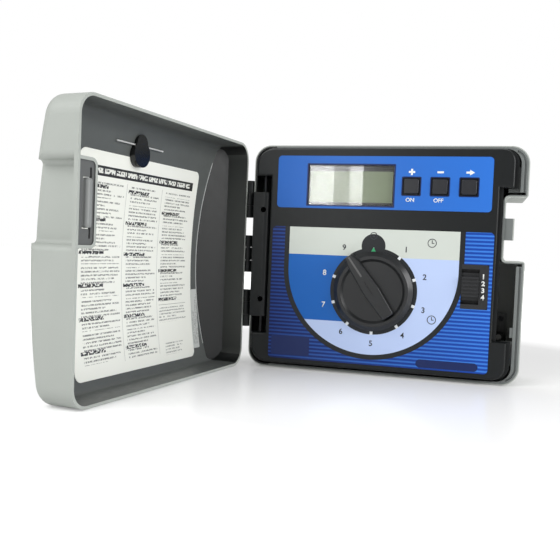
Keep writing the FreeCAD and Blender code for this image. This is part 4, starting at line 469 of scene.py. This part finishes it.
# %% Metals
def metal(name, colour, roughness, stretch=(1.0, 1.0, 1.0), size_mm=0.6):
    finish = Finish(name, colour, roughness, 1.0)
    lines = finish.noise(size_mm, 3.0, stretch)
    finish.set("Roughness", lines * 0.2 + (roughness - 0.1))
    finish.set("Base Color", finish.mix(lines, tuple(c * 0.86 for c in colour), colour))
    finish.bump(lines, 0.01, 0.3)
    return finish


PLATED = (0.62, 0.62, 0.60)
wire = metal("bright_wire", (0.90, 0.90, 0.88), 0.34)
wire.set("Metallic", 0.35)
dress(wire, "card_wire")
BLACKENED = (0.035, 0.036, 0.038)
dress(metal("pin_steel", PLATED, 0.28, (3.0, 3.0, 0.3)), "dial_shaft")
dress(metal("blackened_steel", BLACKENED, 0.42), "hinge_pins", "module_pivots", "strip_screws",
      "latch_pin", "station_board_screws")
dress(metal("screw_zinc", PLATED, 0.32), "bracket_screws", "power_screws", "shield_screws",
      "terminal_screws", "board_screws", "cover_screws", "transformer_bracket")
dress(metal("ground_dye", (0.10, 0.42, 0.16), 0.35), "ground_screw")
core = metal("core_laminations", (0.22, 0.23, 0.25), 0.5, (0.2, 6.0, 0.2), 1.0)
dress(core, "transformer_core")

# %% [markdown]
# The black mouldings of the module share one charcoal plastic in slightly different gloss: the
# frame is satin, hidden covers are matter, and knobs are a little smoother where fingers polish
# them.

# %% Black mouldings
frame_plastic = moulded("frame_plastic", CHARCOAL, 0.36, 0.35, 0.02, Specular_IOR_Level=0.3)
dress(frame_plastic, "module_frame", "hinge_strip")
dress(moulded("cover_plastic", (0.02, 0.021, 0.023), 0.55), "rear_cover", "battery_clip",
      "module_socket", "station_socket", "rotary_switch", "slide_switch")
dress(moulded("patch_plastic", (0.012, 0.013, 0.015), 0.42), "slider_plate", "program_slider")
dress(moulded("key_plastic", (0.012, 0.013, 0.017), 0.34, 0.3, 0.015),
      "key_on", "key_off", "key_next")
dress(moulded("knob_plastic", (0.012, 0.013, 0.014), 0.33, 0.3, 0.015), "dial_knob")
dress(moulded("pointer_paint", (0.10, 0.10, 0.10), 0.3), "dial_pointer")

# %% [markdown]
# Inside parts: a green and a black circuit board with their faint copper tracks, the taped coil,
# cream and dark terminal blocks, the grey shield, rubber, the battery's can.


# %% Inside parts
WIPER_AREA = (66.0, 116.0, -48.0, 6.0)


def board_finish(name, lacquer, track):
    """Coloured lacquer over copper tracks, black under the slider where the wiper runs."""
    finish = Finish(name, lacquer, 0.3)
    x, y, z = finish.axes(finish.object_place())
    lines = finish.noise(3.0, 0.0, (1.0, 1.0, 0.2)) > 0.55
    cross = finish.noise(3.5, 0.0, (0.2, 1.0, 1.0)) > 0.6
    tracks = lines.math("MAXIMUM", cross)
    wiper = rounded_box(x, z, *WIPER_AREA, 3.0)
    printed_side = finish.mix(tracks, lacquer, track)
    finish.set("Base Color", finish.mix(wiper, printed_side, (0.01, 0.011, 0.012)))
    finish.bump(tracks, 0.03, 0.4)
    return finish


dress(board_finish("board_green", (0.015, 0.11, 0.045), (0.03, 0.20, 0.085)), "main_board")
dress(board_finish("board_black", (0.010, 0.014, 0.012), (0.018, 0.024, 0.020)), "station_board")
dress(moulded("terminal_dark", (0.014, 0.022, 0.018), 0.4), "station_terminals")
dress(moulded("terminal_cream", (0.70, 0.66, 0.55), 0.4), "power_terminals")
dress(moulded("shield_plastic", (0.30, 0.31, 0.31), 0.5), "wiring_shield")
dress(moulded("holder_plastic", (0.72, 0.72, 0.70), 0.5), "screen_holder")
dress(moulded("mat_rubber", (0.12, 0.12, 0.125), 0.75, 1.0, 0.05), "key_mat")
dress(moulded("coil_tape", (0.55, 0.40, 0.08), 0.3, 1.4, 0.05), "transformer_coil")
dress(moulded("battery_can", (0.02, 0.02, 0.022), 0.25), "battery_cell")

# %% [markdown]
# The front films. The upper one is a strong blue with painted shade that darkens it a little to
# the left. The lower one carries stripes of two blues, darkened to the left by the same painted
# shade, a dark line round the dial label, a navy patch and a navy pill. Stripes are the height
# folded into one pitch; the dark line is the distance to the label's outline, which is a half
# circle under straight sides.

# %% Panel films
LABEL_X, LABEL_Z, LABEL_R = -9.3, -9.7, 89.0
DIAL_X, DIAL_Z, PRINT_R = -6.2, -31.8, 45.5
SCREEN_EDGE, KEY_EDGE = (-81.9, 11.7, 55.6, 100.7), 1.3
CORNER_PATCH, PILL = (-114.5, -72.0, -105.5, -84.5), (41.0, 103.0, -107.8, -99.4)
STRIPE_PITCH, LABEL_LINE = 3.9, 5.2
INK_BLACK = (0.014, 0.016, 0.018)
WHITE = (0.80, 0.82, 0.80)


def film(name, colour):
    finish = Finish(name, colour, 0.3, Specular_IOR_Level=0.3)
    finish.set("Roughness", finish.noise(3.0, 2.0) * 0.1 + 0.27)
    finish.bump(finish.noise(0.8, 1.0), 0.01, 0.2)
    return finish


def distance(finish, x, z, centre_x, centre_z, flat_above=False):
    dx, dz = x - centre_x, z - centre_z
    if flat_above:
        dz = dz.math("MINIMUM", 0.0)
    return (dx * dx + dz * dz).math("SQRT")


def upper_finish():
    finish = film("upper_film", (0.035, 0.17, 0.66))
    x, y, z = finish.axes(finish.object_place())
    # painted shade: the blue darkens towards the left
    side_light = (x * (1.0 / 222.0) + 0.5).math("MINIMUM", 1.0).math("MAXIMUM", 0.0)
    blue = finish.mix(side_light, (0.008, 0.105, 0.43), (0.026, 0.165, 0.63))
    edge = rounded_box(x, z, *SCREEN_EDGE, 0.8)
    for key in ("key_on", "key_off", "key_next"):
        (left, _, low), (right, _, high) = [[v * 1000.0 for v in corner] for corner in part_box(key)]
        around = rounded_box(x, z, left - KEY_EDGE, right + KEY_EDGE,
                             low - KEY_EDGE, high + KEY_EDGE, 1.5)
        edge = edge.math("MAXIMUM", around)
    finish.set("Base Color", finish.mix(edge, blue, (0.006, 0.02, 0.10)))
    return finish


def lower_finish():
    finish = film("lower_film", (0.03, 0.13, 0.5))
    x, y, z = finish.axes(finish.object_place())
    # painted shade: both stripe blues darken towards the left
    across = (x * (1.0 / 230.0) + 0.51).math("MINIMUM", 1.0).math("MAXIMUM", 0.0)
    fold = (z * (1.0 / STRIPE_PITCH) + 0.2).math("FRACT")
    light = finish.mix(across, (0.008, 0.04, 0.22), (0.040, 0.20, 0.70))
    dark = finish.mix(across, (0.002, 0.008, 0.07), (0.006, 0.06, 0.38))
    stripes = finish.mix(between(fold, 0.0, 0.55), light, dark)
    outline = distance(finish, x, z, LABEL_X, LABEL_Z, True) < LABEL_R + LABEL_LINE
    plate = rounded_box(x, z, *CORNER_PATCH, 1.5)
    pill = rounded_box(x, z, *PILL, 4.1)
    colour = finish.mix(plate.math("MAXIMUM", pill), stripes, (0.008, 0.02, 0.10))
    finish.set("Base Color", finish.mix(outline, colour, INK_BLACK))
    return finish


def dial_label_finish():
    finish = film("dial_film", WHITE)
    x, y, z = finish.axes(finish.object_place())
    pale, blue = (0.49, 0.60, 0.87), (0.006, 0.118, 0.46)
    ground = finish.mix(z > 4.0, pale, (0.60, 0.64, 0.59))
    ground = finish.mix(between(z, -65.5, 4.0) * (x < DIAL_X), ground, blue)
    radius = distance(finish, x, z, DIAL_X, DIAL_Z)
    angle = (z - DIAL_Z).math("ARCTAN2", x - DIAL_X) * (180.0 / math.pi)
    from_tick = (angle - 18.0).math("PINGPONG", 18.0) * radius * (math.pi / 180.0)
    ring = (radius < PRINT_R).math("MAXIMUM", distance(finish, x, z, -7.8, 15.4) < 12.5)
    tick = between(radius, PRINT_R - 3.2, PRINT_R + 0.1) * (from_tick < 1.5)
    ticks = (tick * (angle > 91.0)).math("MAXIMUM", tick * (angle < 80.0))
    colour = finish.mix(ring, ground, INK_BLACK)
    finish.set("Base Color", finish.mix(ticks, colour, (0.75, 0.78, 0.80)))
    return finish


dress(upper_finish(), "panel_upper")
dress(lower_finish(), "panel_lower")
dress(dial_label_finish(), "dial_label")

# %% [markdown]
# The display is a grey-green glass with a dark border, under a clear window.


# %% Display
def display_finish():
    finish = Finish("display_glass", (0.23, 0.29, 0.17), 0.2, Coat_Roughness=0.015)
    finish.set("Coat Weight", 1.0)
    x, y, z = finish.axes(finish.object_place())
    area = rounded_box(x, z, -78.6, 8.8, 60.5, 93.0, 0.5)
    glow = clouded(finish, (0.235, 0.29, 0.17), 0.05, 25.0)
    finish.set("Base Color", finish.mix(area, (0.008, 0.009, 0.008), glow))
    return finish


def window_finish():
    finish = Finish("clear_window", (0.9, 0.93, 0.9), 0.03)
    finish.set("Alpha", 0.04)
    return finish


dress(display_finish(), "screen_glass")
dress(window_finish(), "screen_lens")

# %% [markdown]
# Printed marks are thin raised pieces of ink. Bars, discs, rings and figures are added flat,
# turned to face the front, joined into one piece per ink and given a thickness, so that each
# mark is a real closed shape that a printer or an exporter can use.

# %% Mark helpers
FILM_LEVEL = 86.2
INK_THICK = 0.05
white_ink = moulded("white_ink", WHITE, 0.5)
dark_ink = moulded("dark_ink", (0.02, 0.022, 0.03), 0.5)
green_ink = moulded("green_ink", (0.03, 0.36, 0.14), 0.5)


def alone(piece):
    bpy.ops.object.select_all(action="DESELECT")
    piece.select_set(True)
    bpy.context.view_layer.objects.active = piece


def face_front(piece, x, z, turn=0.0, level=FILM_LEVEL):
    """Turns a flat shape in the XY plane to the front and puts it at its place, in millimetres."""
    piece.rotation_euler = (math.pi / 2, -math.radians(turn), 0.0)
    piece.location = (x / 1000, -level / 1000, z / 1000)
    alone(piece)
    bpy.ops.object.transform_apply(location=True, rotation=True, scale=True)
    return piece


def bar(x, z, width, height, turn=0.0, level=FILM_LEVEL):
    bpy.ops.mesh.primitive_plane_add(size=1.0, location=(0.0, 0.0, 0.0))
    piece = bpy.context.object
    piece.scale = (width / 1000, height / 1000, 1.0)
    return face_front(piece, x, z, turn, level)


def disc(x, z, radius, corners=40, turn=0.0):
    bpy.ops.mesh.primitive_circle_add(vertices=corners, radius=radius / 1000, fill_type="NGON",
                                      location=(0.0, 0.0, 0.0))
    return face_front(bpy.context.object, x, z, turn)


def ring(x, z, radius, width, corners=40):
    bpy.ops.mesh.primitive_circle_add(vertices=corners, radius=radius / 1000, fill_type="NGON",
                                      location=(0.0, 0.0, 0.0))
    piece = bpy.context.object
    bpy.ops.object.mode_set(mode="EDIT")
    bpy.ops.mesh.select_all(action="SELECT")
    bpy.ops.mesh.inset(thickness=width / 1000)
    bpy.ops.mesh.delete(type="FACE")
    bpy.ops.object.mode_set(mode="OBJECT")
    return face_front(piece, x, z)


def figure(text, x, z, size, level=FILM_LEVEL, bold=0.02):
    bpy.ops.object.text_add(location=(0.0, 0.0, 0.0))
    piece = bpy.context.object
    piece.data.body = text
    piece.data.size = size / 1000
    piece.data.offset = bold * size / 1000
    piece.data.align_x = "CENTER"
    piece.data.align_y = "CENTER"
    alone(piece)
    bpy.ops.object.convert(target="MESH")
    return face_front(bpy.context.object, x, z, 0.0, level)


def printed(name, ink, parts, body="module"):
    """Joins flat marks into one raised piece that rides on a body."""
    bpy.ops.object.select_all(action="DESELECT")
    for part in parts:
        part.select_set(True)
    bpy.context.view_layer.objects.active = parts[0]
    bpy.ops.object.join()
    piece = bpy.context.object
    piece.name = name
    thick = piece.modifiers.new("ink", "SOLIDIFY")
    thick.thickness = INK_THICK / 1000
    thick.offset = 1.0
    bpy.ops.object.modifier_apply(modifier=thick.name)
    piece.data.materials.clear()
    piece.data.materials.append(ink.material)
    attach(piece, body)
    print(name, "faces:", len(piece.data.polygons))
    return piece


# %% [markdown]
# Signs by the three keys: plus, minus and an arrow above them, ON and OFF below.

# %% Key signs
KEY_X = (28.2, 56.95, 85.7)
SIGN_Z, WORD_Z, STROKE, ARM = 92.7, 63.9, 2.0, 2.2
plus_x, minus_x, arrow_x = KEY_X
signs = [bar(plus_x, SIGN_Z, STROKE, STROKE + 2 * ARM),
         bar(minus_x, SIGN_Z, STROKE + 2 * ARM, STROKE)]
for side in (-1, 1):
    signs.append(bar(plus_x + side * (STROKE + ARM) / 2, SIGN_Z, ARM, STROKE))
HEAD = 3.2
signs += [bar(arrow_x - 1.6, SIGN_Z, 3.6, STROKE),
          disc(arrow_x + 0.2 + HEAD / 2, SIGN_Z, HEAD, 3, -90.0)]
words = [figure("ON", plus_x - 0.8, WORD_Z, 5.6), figure("OFF", minus_x - 1.0, WORD_Z, 5.6)]
printed("key_signs", white_ink, signs + words)

# %% [markdown]
# The dial has ten places. Nine carry plain figures, pale on the blue field and dark elsewhere,
# and the running place at the top has a green arrow in the black disc. The slider's four places
# carry figures too, and two plain clock signs stand beside the dial.

# %% Dial figures
DIAL_STEP, FIGURE_R = 36.0, 55.0
pale_figures, dark_figures = [], []
for place in range(1, 10):
    angle = math.radians(90.0 - DIAL_STEP * place)
    x, z = DIAL_X + FIGURE_R * math.cos(angle), DIAL_Z + FIGURE_R * math.sin(angle)
    on_blue = place in (7, 8)
    (pale_figures if on_blue else dark_figures).append(figure(str(place), x, z, 8.0))
PLATE_LEVEL, SLIDER_X, SLIDER_TOP, SLIDER_PITCH = 86.4, 104.1, -11.5, 7.0
slider_figures = [figure(str(i + 1), SLIDER_X, SLIDER_TOP - i * SLIDER_PITCH, 6.6, PLATE_LEVEL, 0.045)
                  for i in range(4)]
printed("pale_figures", white_ink, pale_figures)
printed("slider_figures", white_ink, slider_figures)
clocks = []
for x, z in ((52.0, 20.5), (55.0, -58.0)):
    clocks += [ring(x, z, 4.6, 0.8), bar(x, z + 1.4, 0.8, 3.4), bar(x + 1.0, z - 0.1, 2.4, 0.8)]
clocks += [ring(-8.0, 26.0, 3.9, 0.8), disc(-8.0, 25.7, 2.0, 3)]
printed("dark_figures", dark_ink, dark_figures + clocks)
printed("run_arrow", green_ink, [disc(-7.6, 11.0, 2.9, 3), bar(-7.6, 8.4, 1.9, 2.3)])

# %% [markdown]
# Last, the sizes are written out, so that the dressed model can be compared with the plain one.

# %% Finish
bpy.ops.object.select_all(action="DESELECT")
